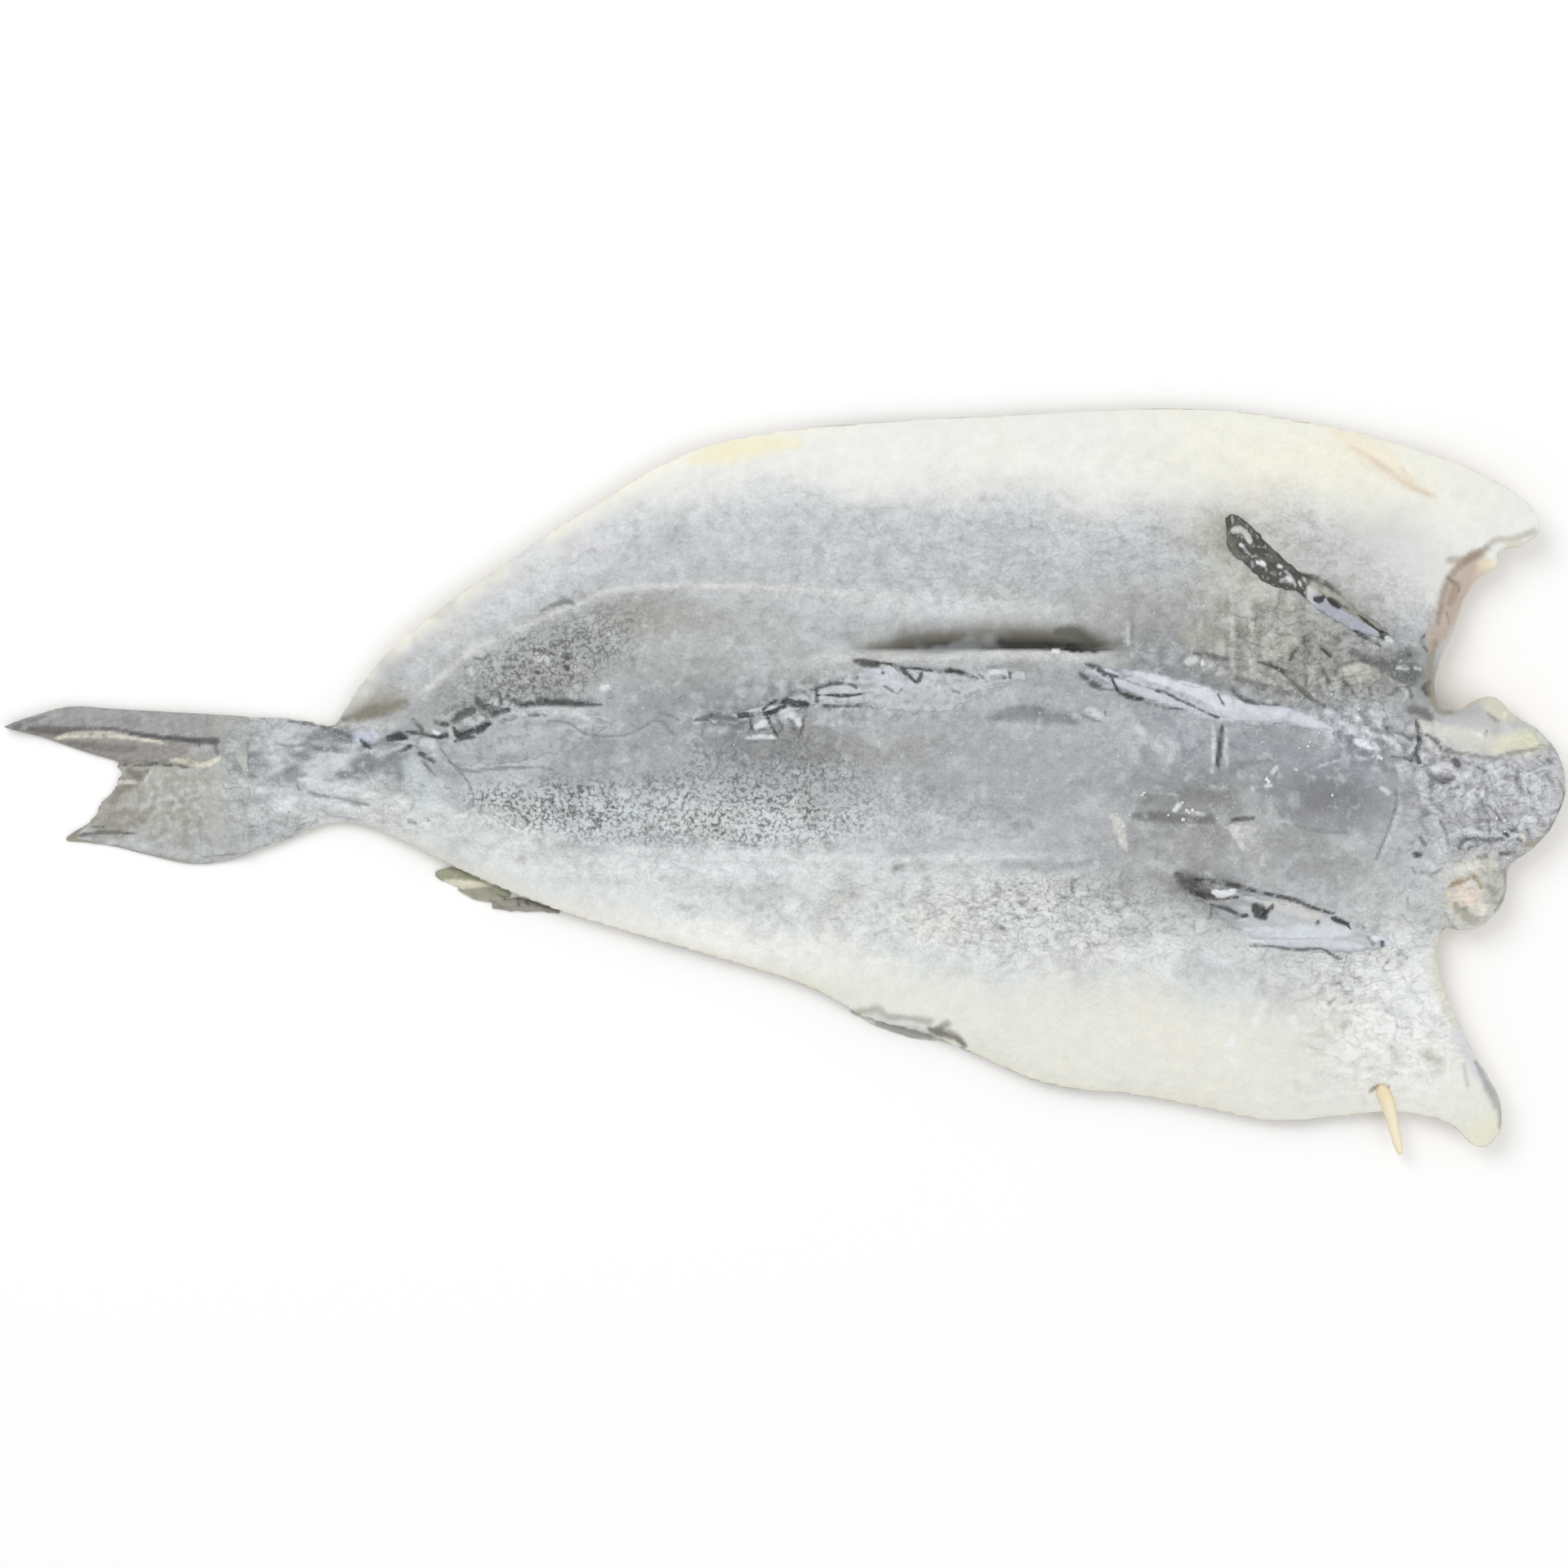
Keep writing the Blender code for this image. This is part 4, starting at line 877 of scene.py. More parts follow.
    (84, [(239.6, 49.2, 0.7), (238, 46.8, 0.7)], 0.7, 0.5),
    (212, [(234.6, 44.1, 0.8), (238.4, 44, 0.8)], 0.85),
    (214, [(241.6, 44.2, 0.7), (243.6, 43.8, 0.6)], 0.85),
    (196, [(236, 36.4, 0.6), (238.4, 34.6, 0.9), (236.4, 31.6, 0.6)], 0.7, 0.5),
    (96, [(239.4, 36.6, 0.5), (239.8, 33, 0.6)], 0.7, 0.5),
    ((106, 104, 96), [(240, 28.4, 1.4), (245, 27, 2.2), (247, 25, 1.2)], 0.8, 0.7),
    ((84, 82, 74), [(247.4, 39, 0.8), (245.6, 36.4, 1.5), (247.4, 34.6, 1.2)]),
    ((220, 222, 232), [(207, 27.6, 1.1), (209, 26.6, 1.1)], 0.8, 0.5),
    ((222, 225, 236), [(211.4, 24.4, 1.3), (213, 23, 1.1)], 0.8, 0.5),
    ((234, 236, 246), [(218, 26.4, 1), (219.2, 24.8, 1.1)], 0.9),
    ((236, 238, 246), [(221.6, 20.6, 0.8), (222.8, 19.8, 0.8)], 0.9),
    ((238, 240, 247), [(218.6, 16.2, 1), (221, 15.4, 1.4), (224, 13.6, 0.9)], 0.9),
    ((242, 244, 250), [(227.2, 10.6, 0.8), (228, 10, 0.7)], 0.9),
    ((222, 225, 234), [(215.4, 20.6, 0.8), (216.6, 19.4, 0.8)], 0.8, 0.5),
    ((214, 216, 226), [(224.6, 27.6, 1), (227, 26, 1)], 0.7, 0.5),
    ((216, 218, 228), [(229, 18, 1.2), (232, 16, 1.2), (235, 13, 1)], 0.7, 0.6),
    ((206, 208, 216), [(232, 24, 1.4), (236, 22, 1.2)], 0.6, 0.6),
    ((132, 134, 143), [(212, 19, 1.2), (216, 15.6, 1.4), (219, 12, 1.2), (225, 12, 1)], 0.7, 0.6),
    (72, [(229.2, 22, 0.6), (230.4, 21.4, 0.6)], 0.8),
    ((118, 120, 128), [(225, 21, 1), (228, 19.4, 1.1)], 0.7, 0.6),
    ((112, 114, 121), [(233, 20, 0.8), (237, 18.6, 1), (240, 17, 0.9)], 0.7, 0.6),
    ((96, 98, 104), [(233, 10.4, 0.6), (238, 9.8, 0.8), (242, 8.4, 1)], 0.8, 0.5),
    (70, [(241.6, 24, 0.6), (242.6, 19, 0.8), (243, 15, 1.2), (241, 11.4, 1),
        (243.2, 8.2, 0.7)], 0.85),
    ((134, 136, 141), [(191, 5.4, 0.6), (198, 4.4, 0.9), (206, 3.4, 0.8), (214, 5, 0.6)], 0.7, 0.6),
    ((200, 201, 205), [(201, 5.6, 0.4), (206, 7.4, 0.6), (212, 9.2, 0.5)], 0.7, 0.5),
    ((130, 132, 136), [(187, -7, 0.5), (191, -13, 0.7), (199, -17, 0.7), (208, -18.4, 0.8),
        (218, -19, 0.6)], 0.7, 0.6),
    (122, [(234, -2.4, 0.5), (233.6, -9, 0.7), (231.6, -16, 0.5), (229, -23, 0.5),
        (226.6, -29, 0.4)], 0.75, 0.5),
    ((208, 210, 212), [(236, -8, 0.8), (233.4, -16, 1.2), (230.4, -24, 1.2), (227, -32, 0.9)], 0.6, 0.6),
    (222, [(228, -1.6, 0.8), (231, -3.4, 0.9)], 0.85),
    (220, [(186.2, 4.6, 0.8), (187.6, 6.2, 0.9)], 0.85),
    (230, [(183.8, -1, 0.9), (185.6, -0.6, 0.8)], 0.85),
    (242, [(178.6, -1.8, 0.6), (179.3, -1.8, 0.6)], 0.9),
    (206, [(163, -1.4, 1), (168.4, -1.8, 0.8)], 0.7, 0.5),
], "scraps": [
    ((210, 210, 206), [(125.8, -12.8, 1.2), (128, -16, 1.9), (129.6, -21, 1.5), (131, -25, 0.7)], 0.9, 0.3),
    (246, [(137.6, -12.3, 1), (138.4, -12.5, 0.9)]),
    (236, [(149.2, -10, 0.9), (150.8, -8, 1.1)], 0.9),
    ((230, 230, 227), [(154.6, -11, 0.8), (157, -11.6, 1.2), (160.4, -12, 0.7)], 0.95, 0.3),
    ((108, 110, 104), [(134, -12.4, 1.2), (142, -12.6, 2), (151, -13.4, 1.8),
        (163, -13.6, 1.6)], 0.7, 0.8),
    ((124, 125, 120), [(138, -5.6, 2.2), (142, -3.6, 2.6)], 0.65, 0.8),
    ((132, 133, 127), [(150, -4.6, 2.2), (160, -5, 3), (171, -4.6, 2.6)], 0.65, 0.9),
    ((96, 95, 88), [(171, -13.9, 0.7), (175, -13.5, 1.1), (178.8, -13.2, 0.8)], 0.85),
    ((214, 215, 212), [(170.4, -16.6, 0.8), (173, -18.6, 2), (174.4, -22, 1.4),
        (175.4, -25, 0.6)], 0.9, 0.3),
    ((212, 213, 210), [(173, -17.4, 1.2), (178, -17.6, 1.4), (180.6, -16.6, 0.7)], 0.85),
    ((190, 190, 186), [(178, -22, 2.6), (182, -30, 3), (186, -36, 2.4)], 0.6, 0.9),
    ((222, 220, 212), [(183, -28.4, 1), (183, -31, 1)], 0.8, 0.5),
    (204, [(142, -31, 1.8), (148, -33, 2)], 0.6, 0.8),
    (140, [(143, -25, 0.7), (142.6, -28.4, 0.7)], 0.6, 0.6),
    (150, [(93.6, -14.8, 1), (95, -17, 1.1)], 0.5, 0.7),
    (146, [(84, -31, 1.2), (96, -31.6, 1.6), (108, -31.8, 1.6), (118, -29.4, 1)], 0.5, 0.9),
    ((212, 217, 213), [(112.6, -36, 1.6), (116, -42, 2.2), (115.6, -50, 1.8)], 0.6, 0.7),
    (118, [(110.4, -38, 0.7), (110.8, -41, 0.8)], 0.7, 0.5),
    (116, [(82.4, -54.4, 0.8), (84, -55.6, 1.2)], 0.75, 0.5),
    (120, [(103, -51, 0.5), (103.4, -54, 0.4)], 0.6, 0.5),
    ((216, 222, 222), [(53, -12, 1.2), (60, -13.2, 1.4)], 0.6, 0.7),
], "right pectoral": [
    # the dark lines along the upper edge of the fin are painted shadow
    ((84, 80, 78), [(150.6, -34.6, 1.2), (155, -38, 2.8), (161, -41.6, 2.2), (168, -43.4, 1.1)], 0.85, 0.8),
    ((58, 54, 52), [(156, -41, 0.8), (160.6, -42.8, 1.1), (167, -43.8, 0.8), (174, -43.4, 0.5)], 0.9, 0.5),
    ((80, 78, 76), [(158, -37, 0.9), (166, -37.4, 1), (172, -38.6, 1), (180, -41, 0.8),
        (188, -42.8, 0.8), (196, -44.6, 0.9), (203, -47.6, 0.7), (211, -49.8, 0.5)]),
    (230, [(164.8, -41.4, 0.9), (168, -42.2, 1.4), (172.6, -41, 0.8)]),
    (88, [(163.6, -46.2, 0.6), (170, -48, 0.9), (175, -50.6, 1)]),
    (60, [(173.6, -51.2, 0.9), (177.4, -50.4, 0.9)]),
    (112, [(164.4, -46.4, 0.5), (163.4, -51.6, 0.5)], 0.75),
    (150, [(172, -45.4, 1.2), (178, -46, 1.2)], 0.7, 0.6),
    ((46, 48, 43), [(180.8, -47.6, 1.7), (182.4, -49, 2.5), (184.4, -51, 1.2)]),
    ((46, 48, 43), [(184, -50, 1), (186, -48.6, 1.1), (187.6, -46.4, 0.8)]),
    ((208, 206, 196), [(184.6, -46, 0.9), (186.6, -45.6, 0.6)]),
    ((206, 206, 200), [(189, -46, 1.4), (196, -48.4, 2), (204, -51, 1.8)], 0.7, 0.7),
    (222, [(194, -46.6, 0.9), (198, -46.8, 0.8)], 0.8),
    (62, [(205, -52.4, 0.5), (204.8, -54.4, 1.2)]),
    (58, [(210.8, -51.6, 0.9), (213, -52.6, 1.1), (216.2, -53.8, 0.7), (217.4, -55.6, 0.4)]),
    (104, [(220.4, -53.8, 0.5), (223, -55.2, 0.5)], 0.8),
    ((214, 219, 227), [(177, -56.4, 1), (188, -57.2, 2.2), (200, -57, 2.6), (211, -56.4, 2.4),
        (216.6, -57, 1.2)], 0.85),
    ((215, 220, 228), [(178, -60.4, 0.8), (190, -60.6, 1.4), (204, -61, 1.5), (216, -62, 1.6),
        (222, -63, 0.8)], 0.8),
    ((168, 174, 182), [(184, -59.3, 0.3), (196, -59.4, 0.35), (206, -59.2, 0.3)], 0.7),
    (96, [(179.4, -62, 0.6), (188, -62.3, 0.4), (196, -63.6, 0.6), (206.6, -63.4, 0.5), (211, -66, 0.6),
        (214.6, -67.4, 0.4)], 0.85),
    (230, [(190, -64.4, 0.6), (195.4, -65.2, 0.8)], 0.8),
    ((224, 227, 236), [(225.6, -60, 1.2), (229.6, -58.6, 1.2), (232.6, -61.6, 1.1)], 0.8),
    ((72, 70, 78), [(229.8, -60.8, 0.9), (229.8, -61.8, 0.8)]),
    ((120, 122, 130), [(224.4, -59, 0.6), (226.4, -61.6, 0.8)], 0.7, 0.5),
    (124, [(157.6, -53, 0.4), (158, -57, 0.5)], 0.6, 0.5),
    (196, [(143, -48, 2.4), (148, -50, 2.2)], 0.5, 0.8),
], "nape": [
    ((214, 214, 206), [(243.6, 23.6, 1), (247, 21, 2.2), (254, 19.4, 3), (263, 17.4, 3.2),
        (272, 15, 3.2), (280, 15.6, 2.8)], 0.85, 0.5),
    ((228, 225, 192), [(272, 13.2, 1.6), (279, 16, 2.8), (286, 17.6, 3), (288.6, 15.8, 1.4)], 0.6, 0.9),
    ((190, 190, 191), [(254, 24.6, 2), (263, 24.4, 2.4), (272, 22.4, 2)], 0.7, 0.8),
    ((208, 205, 186), [(270, 31, 2), (275, 29, 2.8), (279, 26, 2.2)], 0.8, 0.7),
    ((236, 233, 216), [(276.4, 27.2, 0.9), (276, 25.6, 0.8)], 0.7, 0.5),
    ((140, 140, 143), [(270, 26.8, 0.8), (273.4, 23.8, 1)], 0.7, 0.6),
    ((240, 239, 228), [(263.6, 19.6, 0.7), (267, 18.4, 0.8)], 0.85),
    ((140, 140, 140), [(268.2, 18.8, 0.8), (269, 20.4, 0.5)], 0.7, 0.5),
    (84, [(245.6, 18.8, 0.5), (248.6, 17, 0.6), (250.4, 15, 0.7), (251.2, 12.6, 0.6)], 0.85),
    ((212, 213, 210), [(246, 15.6, 1.3), (248.6, 12.6, 1.2), (246, 10.6, 0.8)], 0.7, 0.5),
    ((142, 140, 134), [(252, 12.6, 0.5), (258, 11.8, 0.8), (265, 10.6, 0.9), (273, 10.2, 0.8),
        (279, 11.9, 0.9), (285, 12.9, 0.7), (291, 14, 0.4)], 0.8, 0.5),
    (92, [(256.4, 9, 1.2), (258, 7.4, 1.3)], 0.85, 0.5),
    ((220, 221, 228), [(250.6, 7.6, 1.4), (253, 5, 2), (257, 3.2, 1.6)], 0.8, 0.6),
    ((120, 122, 127), [(249, 2.6, 1.6), (252.6, 1, 2), (256, 2.4, 1)], 0.75, 0.7),
    (98, [(254.6, -2, 0.5), (258.6, -1.2, 0.6)], 0.8),
    ((216, 217, 224), [(258.6, 1.6, 0.9), (262, 2.6, 1), (266, 1, 0.8)], 0.6, 0.6),
    ((120, 121, 126), [(260, 8.6, 0.6), (264, 7, 0.8), (268.6, 5, 0.5)], 0.7, 0.5),
    ((222, 223, 229), [(270, 7.6, 1.4), (271.6, 4.6, 1.4)], 0.8, 0.6),
    (104, [(293, 9.4, 1), (294, 8.2, 1)], 0.8, 0.5),
    ((160, 160, 150), [(290, 14.6, 1), (294, 14.2, 1.2)], 0.6, 0.7),
    ((222, 224, 228), [(295.4, 4.4, 0.9), (297.4, 2.4, 0.8)], 0.8, 0.5),
    ((126, 127, 130), [(292.6, 4, 0.6), (294.2, 1, 0.8), (296, -1, 0.5)], 0.7, 0.5),
    ((156, 152, 132), [(297.6, 0.4, 1), (299, -2.4, 1)], 0.7, 0.7),
    ((118, 120, 127), [(265, -3.4, 0.6), (267.4, -7, 0.9), (269.6, -12, 0.7),
        (270.6, -19, 0.6)], 0.75, 0.5),
    ((214, 216, 224), [(268, -2.4, 1), (272, -8, 1.2), (276, -14, 1), (279, -17, 0.6)], 0.75, 0.6),
    ((114, 116, 124), [(272.6, -10, 0.5), (275.6, -15, 0.6), (279.4, -18, 0.7)], 0.75, 0.5),
    ((120, 121, 127), [(276, -12, 0.4), (279, -15.6, 0.5), (281.6, -18.6, 0.5)], 0.6, 0.5),
    ((210, 212, 220), [(281, -5, 1), (284, -8, 1), (287, -8.6, 0.8)], 0.6, 0.6),
    ((130, 131, 137), [(281.6, 6, 0.7), (281, 2, 0.7), (283, -2, 0.6)], 0.6, 0.6),
    ((240, 241, 243), [(284.6, -13, 1), (288, -14, 1.1)], 0.9),
    (70, [(276.6, -18.8, 1), (277.6, -19.8, 0.9)], 0.85),
    (92, [(281.6, -21.2, 0.8), (282.8, -21.8, 0.7)], 0.8, 0.5),
    ((226, 222, 204), [(283, -20, 0.8), (284.4, -20.6, 0.7)], 0.85),
    ((88, 88, 78), [(285.4, -18, 0.9), (286, -19.8, 0.9)], 0.8, 0.5),
    ((100, 101, 106), [(258.8, -25, 0.7), (259.6, -22.4, 1), (263, -20.9, 0.9), (269, -21.6, 0.9),
        (276, -21.4, 0.7)], 0.8, 0.5),
    ((218, 220, 226), [(256, -20, 1), (261, -18.8, 1.3), (267, -18.8, 1)], 0.75, 0.6),
    ((100, 101, 105), [(262.6, -24.4, 0.6), (265.6, -23.8, 0.6)], 0.7, 0.5),
    ((108, 106, 96), [(266, -28.4, 0.9), (269.4, -28, 0.9)], 0.75, 0.5),
    ((90, 89, 82), [(275, -26.8, 0.8), (280, -26.6, 0.9)], 0.8, 0.5),
    ((170, 163, 140), [(284, -23.6, 1.2), (290, -22.4, 1.5), (294, -19, 1.2)], 0.75, 0.7),
    ((116, 115, 110), [(299.4, -3, 0.5), (298, -9, 0.7), (295.6, -15, 0.7), (293, -18, 0.5)], 0.7, 0.6),
    (56, [(241, -27.2, 1), (243.4, -27, 1.2)]),
    ((110, 111, 115), [(243.6, -20.6, 0.8), (245.4, -23, 1.1)], 0.75, 0.5),
    ((120, 121, 125), [(240.4, -22.6, 0.6), (242.4, -19, 0.6)], 0.65, 0.5),
    ((218, 219, 225), [(247.4, -8, 1.4), (249, -11, 1.3)], 0.75, 0.6),
    ((130, 131, 136), [(245, -11, 0.6), (244, -15, 0.7), (246, -18, 0.5)], 0.6, 0.6),
    ((128, 129, 134), [(251, -14, 0.5), (253.4, -18, 0.7), (254.6, -22.6, 0.8)], 0.7, 0.5),
    ((212, 214, 219), [(250, -22, 1.6), (252, -26, 1.4), (250, -29, 1.2)], 0.6, 0.7),
    ((116, 118, 120), [(244.4, -33.6, 0.8), (248, -34.6, 0.9), (252, -32.6, 0.7)], 0.65, 0.6),
    ((118, 120, 122), [(240.6, -32, 0.7), (242, -34.4, 0.6)], 0.6, 0.6),
    ((112, 114, 116), [(241, -38.4, 0.7), (243, -39.6, 0.6)], 0.6, 0.6),
    ((124, 126, 128), [(239, -43, 0.4), (239.6, -47, 0.4)], 0.6, 0.5),
], "lobe": [
    ((226, 224, 211), [(259, -32.4, 2), (266, -31, 2.4), (273, -31.6, 1.6)], 0.75, 0.7),
    ((236, 222, 206), [(261, -40.6, 2.4), (262, -44, 3.4), (264.6, -42, 2.4)], 0.85, 0.6),
    ((156, 134, 100), [(254.6, -39.8, 0.6), (257, -38.2, 1.2), (260, -37, 1), (263.4, -35.2, 1.1),
        (265.6, -37, 0.8), (267.4, -40, 0.5)], 0.85, 0.5),
    ((224, 206, 180), [(255, -42, 1.2), (255.6, -46.6, 1.2)], 0.8, 0.7),
    ((148, 150, 136), [(270.4, -39.6, 1.2), (272.4, -41.4, 1.5)], 0.75, 0.6),
    ((160, 161, 147), [(272.6, -45.6, 0.8), (275, -45.4, 0.7)], 0.7, 0.5),
    ((158, 158, 144), [(272, -33.4, 0.7), (276, -33.8, 0.7)], 0.7, 0.5),
    ((168, 167, 148), [(257.6, -46.4, 1.1), (258.6, -48.4, 1.3)], 0.75, 0.6),
    ((158, 157, 141), [(261, -48.6, 1.1), (262.4, -51.4, 2), (266, -52.6, 1.6)], 0.75, 0.7),
    ((150, 149, 134), [(260.6, -48, 0.7), (262.4, -47.4, 0.6)], 0.7, 0.5),
    ((236, 233, 219), [(266.4, -45, 1), (268.6, -49, 1.3), (268, -53, 1)], 0.7, 0.6),
    ((140, 139, 128), [(277, -33, 0.6), (277.2, -38, 0.7), (276, -44, 0.6), (273, -49, 0.5)], 0.7, 0.6),
    ((150, 148, 132), [(254, -49.6, 0.5), (257, -54.6, 0.7), (261, -56.8, 0.7),
        (268, -55.4, 0.5)], 0.6, 0.6),
], "neck edge": [
    ((184, 165, 150), [(249.8, 55, 3), (254, 63, 4.6), (258, 72, 5.2), (262, 80, 4.8),
        (266, 86, 3.6)], 0.85, 0.7),
    ((216, 196, 176), [(257, 56, 1), (261.6, 66, 1.4), (265.6, 76, 1.6), (268.6, 83, 2)], 0.6, 0.8),
    ((232, 222, 194), [(268.6, 84.6, 2.2), (273, 83.6, 1.8)], 0.75, 0.7),
    ((150, 128, 112), [(256, 70, 1.6), (258.4, 76, 1.8)], 0.6, 0.8),
    ((128, 112, 102), [(255, 79.4, 0.6), (258.4, 77, 0.6), (259.6, 74, 0.5)], 0.7, 0.5),
    ((150, 130, 116), [(254.4, 66, 0.6), (255.6, 61.6, 0.6)], 0.6, 0.5),
    ((170, 158, 146), [(256, 86, 1.4), (263, 86.4, 1.8), (270, 90.4, 1.4)], 0.75, 0.7),
    # painted shadow under the tip of the flap
    ((168, 162, 146), [(268.6, 89.6, 1), (272, 93, 1.3), (275.4, 94, 1.2), (281, 94.2, 1.4),
        (287.6, 97, 1.2)], 0.6, 0.9),
    ((138, 118, 106), [(251, 62, 0.9), (252.6, 70, 1.2), (255, 78, 1.4), (260, 84, 1.4),
        (267, 89, 1.2)], 0.6, 0.9),
    ((214, 208, 192), [(278.6, 91.8, 1.4), (284, 91.8, 1.4), (288, 94.4, 0.8)], 0.8, 0.5),
    ((148, 142, 122), [(249.6, 54, 1.4), (247.8, 46, 1.7), (248, 36, 1.6), (250.6, 28.4, 1.3),
        (256, 27.4, 0.8)], 0.75, 0.8),
    ((196, 180, 162), [(247.4, 60, 1.2), (248, 52, 1.2)], 0.7, 0.7),
    ((112, 108, 102), [(246, 58, 0.5), (244.4, 54.4, 0.9), (246.4, 51, 0.7)], 0.8, 0.5),
    ((222, 219, 205), [(250.6, -60, 1.6), (250.4, -70, 2.6), (254, -82, 2.6), (258, -92, 1.8)], 0.75, 0.7),
    ((208, 208, 214), [(259, -96, 2), (264, -105, 2.6), (268.6, -113, 2.2), (272, -119, 1.4)], 0.75, 0.7),
    ((138, 138, 140), [(266, -107, 0.8), (269.6, -114, 1.4), (272.8, -120.4, 2), (275.8, -126, 1.8),
        (276, -132, 1.4)], 0.65, 0.9),
    ((180, 182, 187), [(261.4, -108, 0.8), (262.6, -116, 0.9)], 0.6, 0.7),
], "left pectoral": [
    (34, [(203.2, 70.6, 0.9), (204.6, 70.4, 1.4), (206, 71.4, 0.9)]),
    (30, [(208.2, 70.6, 0.8), (210, 69.6, 1.4), (211.8, 68.2, 1.2)]),
    (96, [(212, 68.6, 0.6), (215.4, 67.2, 0.7)], 0.8, 0.5),
    (58, [(219.6, 64.6, 0.4), (223, 62, 0.7), (226, 59.6, 0.5), (228.6, 58, 0.6)]),
    (34, [(228.6, 57.6, 1.2), (229.6, 56.6, 1.5)]),
    # painted shadow line beside the fin's edge
    (62, [(218, 58.6, 0.5), (220.6, 57.2, 0.9), (224, 55.2, 0.9), (228, 53, 0.5)], 0.85, 0.5),
    (228, [(231, 55.6, 1.1), (232.2, 54.6, 1)]),
    ((84, 82, 72), [(198.6, 80, 0.9), (203, 79, 1.1), (208, 76.4, 1), (212.6, 73, 0.7)], 0.85, 0.5),
    ((190, 188, 178), [(202.4, 75.6, 1.3), (203.2, 74.8, 1.1)], 0.7, 0.6),
    ((186, 185, 174), [(206.8, 74, 1.4), (208, 73, 1.2)], 0.65, 0.7),
    ((178, 178, 170), [(211, 72, 1.3), (214, 70, 1.3)], 0.6, 0.8),
    # the pale and white marks on the black web below are painted highlights of its gloss
    ((206, 204, 198), [(172, 97, 0.9), (174, 97.4, 1.3), (176.4, 96.4, 1.1), (178, 93.6, 1.1),
        (178.2, 92.4, 0.6)]),
    (236, [(174.8, 91.5, 0.8), (175.3, 91, 0.7)]),
    (168, [(175.6, 90.4, 0.45), (178, 87.8, 0.5)], 0.8),
    (246, [(181, 85, 0.7), (182.2, 84.6, 1.1), (183.4, 83.8, 0.9)]),
    (234, [(189, 83.4, 0.8), (189.9, 83, 0.8)]),
    (160, [(178.9, 84.8, 0.7), (179.2, 83.4, 0.6)], 0.7, 0.5),
    (132, [(186.4, 80.8, 0.9), (187.4, 80.2, 0.8)], 0.7, 0.6),
    (176, [(190, 77.8, 0.9), (192.4, 77.8, 1.2), (194.4, 77, 0.9)], 0.8, 0.6),
    (228, [(192.6, 78.8, 0.9), (193.6, 77.8, 0.9)], 0.9, 0.5),
    (188, [(191.4, 81.4, 0.5), (194, 79, 0.5), (195.4, 76, 0.45)], 0.8),
    (214, [(197, 77, 0.7), (197.4, 76, 0.6)]),
    ((196, 195, 188), [(198.6, 78.6, 0.7), (199.6, 77, 0.7)], 0.8, 0.5),
    ((112, 112, 98), [(171, 92, 1.2), (173, 87, 1.3)], 0.5, 0.8),
], "belly fins": [
    # cream along the lobe edges: partly the fin's pale edge, partly painted highlight
    ((236, 231, 210), [(-131, -37.8, 0.9), (-126, -38.6, 1.5), (-120, -38.8, 1.2),
        (-113, -38.6, 0.8)], 0.85, 0.5),
    ((84, 74, 66), [(-102.8, -43, 0.6), (-102.7, -46.6, 0.7)], 0.85, 0.5),
    ((96, 86, 78), [(-99.8, -45.6, 0.8), (-98.6, -46.6, 0.7)], 0.7, 0.5),
    ((188, 186, 166), [(-116, -37.6, 1.2), (-111, -40, 1)], 0.7, 0.7),
    ((214, 215, 213), [(33, -90, 2.4), (44, -92.6, 3.2), (54, -94, 3.2), (61, -95, 2)], 0.8, 0.9),
    ((156, 157, 152), [(36, -92.6, 0.9), (45, -95.6, 1.7), (50, -96.4, 2.1), (56, -97.6, 1.3)], 0.8, 0.9),
    # painted shadow at the end of the first belly fin's lobe
    ((92, 88, 74), [(56, -94.6, 0.8), (60, -96.2, 1.7), (66, -97.6, 1.4), (69.6, -101, 1)], 0.8, 0.9),
    ((130, 127, 114), [(59, -95, 1.4), (62.6, -92.8, 1.7)], 0.7, 0.9),
    ((150, 148, 136), [(27, -88, 0.8), (31.6, -87.6, 1.4), (36.4, -87, 1.6), (39.6, -89.6, 1.3),
        (47, -90.2, 1), (56, -91.6, 1.4)], 0.6, 1),
], "corners": [
    ((238, 230, 210), [(211, 137, 1.6), (217, 132.6, 3), (225, 128.6, 4.2), (233, 123, 3.6),
        (240, 117, 2), (248, 112.4, 0.8)], 0.85, 0.7),
    ((220, 205, 186), [(218, 130, 0.7), (226, 125.4, 1.2), (233, 120, 1.4), (241, 114.6, 1.3),
        (250, 110.6, 0.8)], 0.6, 0.9),
    ((232, 214, 196), [(238, 121, 0.9), (241.6, 116.6, 0.8)], 0.7, 0.6),
    ((190, 188, 180), [(201.6, 104, 1.2), (202.6, 99, 1.4), (205.4, 93, 1)], 0.6, 0.8),
    ((206, 204, 203), [(212, 96, 4), (216, 88, 5), (222, 78, 5)], 0.6, 1),
    ((210, 209, 210), [(228, 92, 4), (232, 80, 5), (238, 70, 4)], 0.5, 1),
    ((192, 191, 178), [(160, 98, 3), (166, 88, 3.4), (174, 78, 3), (184, 70, 2.6)], 0.5, 1),
    ((160, 160, 150), [(190.6, 92.6, 0.6), (193.6, 92, 0.7), (191, 90.4, 0.4)], 0.6, 0.5),
    ((166, 166, 156), [(184, 70, 1.2), (192, 66, 1.6), (202, 60, 1.4)], 0.5, 0.9),
    ((206, 207, 204), [(213, -96, 0.6), (210.6, -90, 0.7), (213.4, -85, 0.7), (220, -83, 0.6)], 0.6, 0.6),
    ((190, 189, 174), [(215, -93.4, 1), (217.6, -91.6, 1.4)], 0.6, 0.7),
    ((196, 198, 197), [(226, -86.6, 0.5), (232, -87.4, 0.7), (236, -91.6, 0.7), (235, -98, 0.5)], 0.6, 0.6),
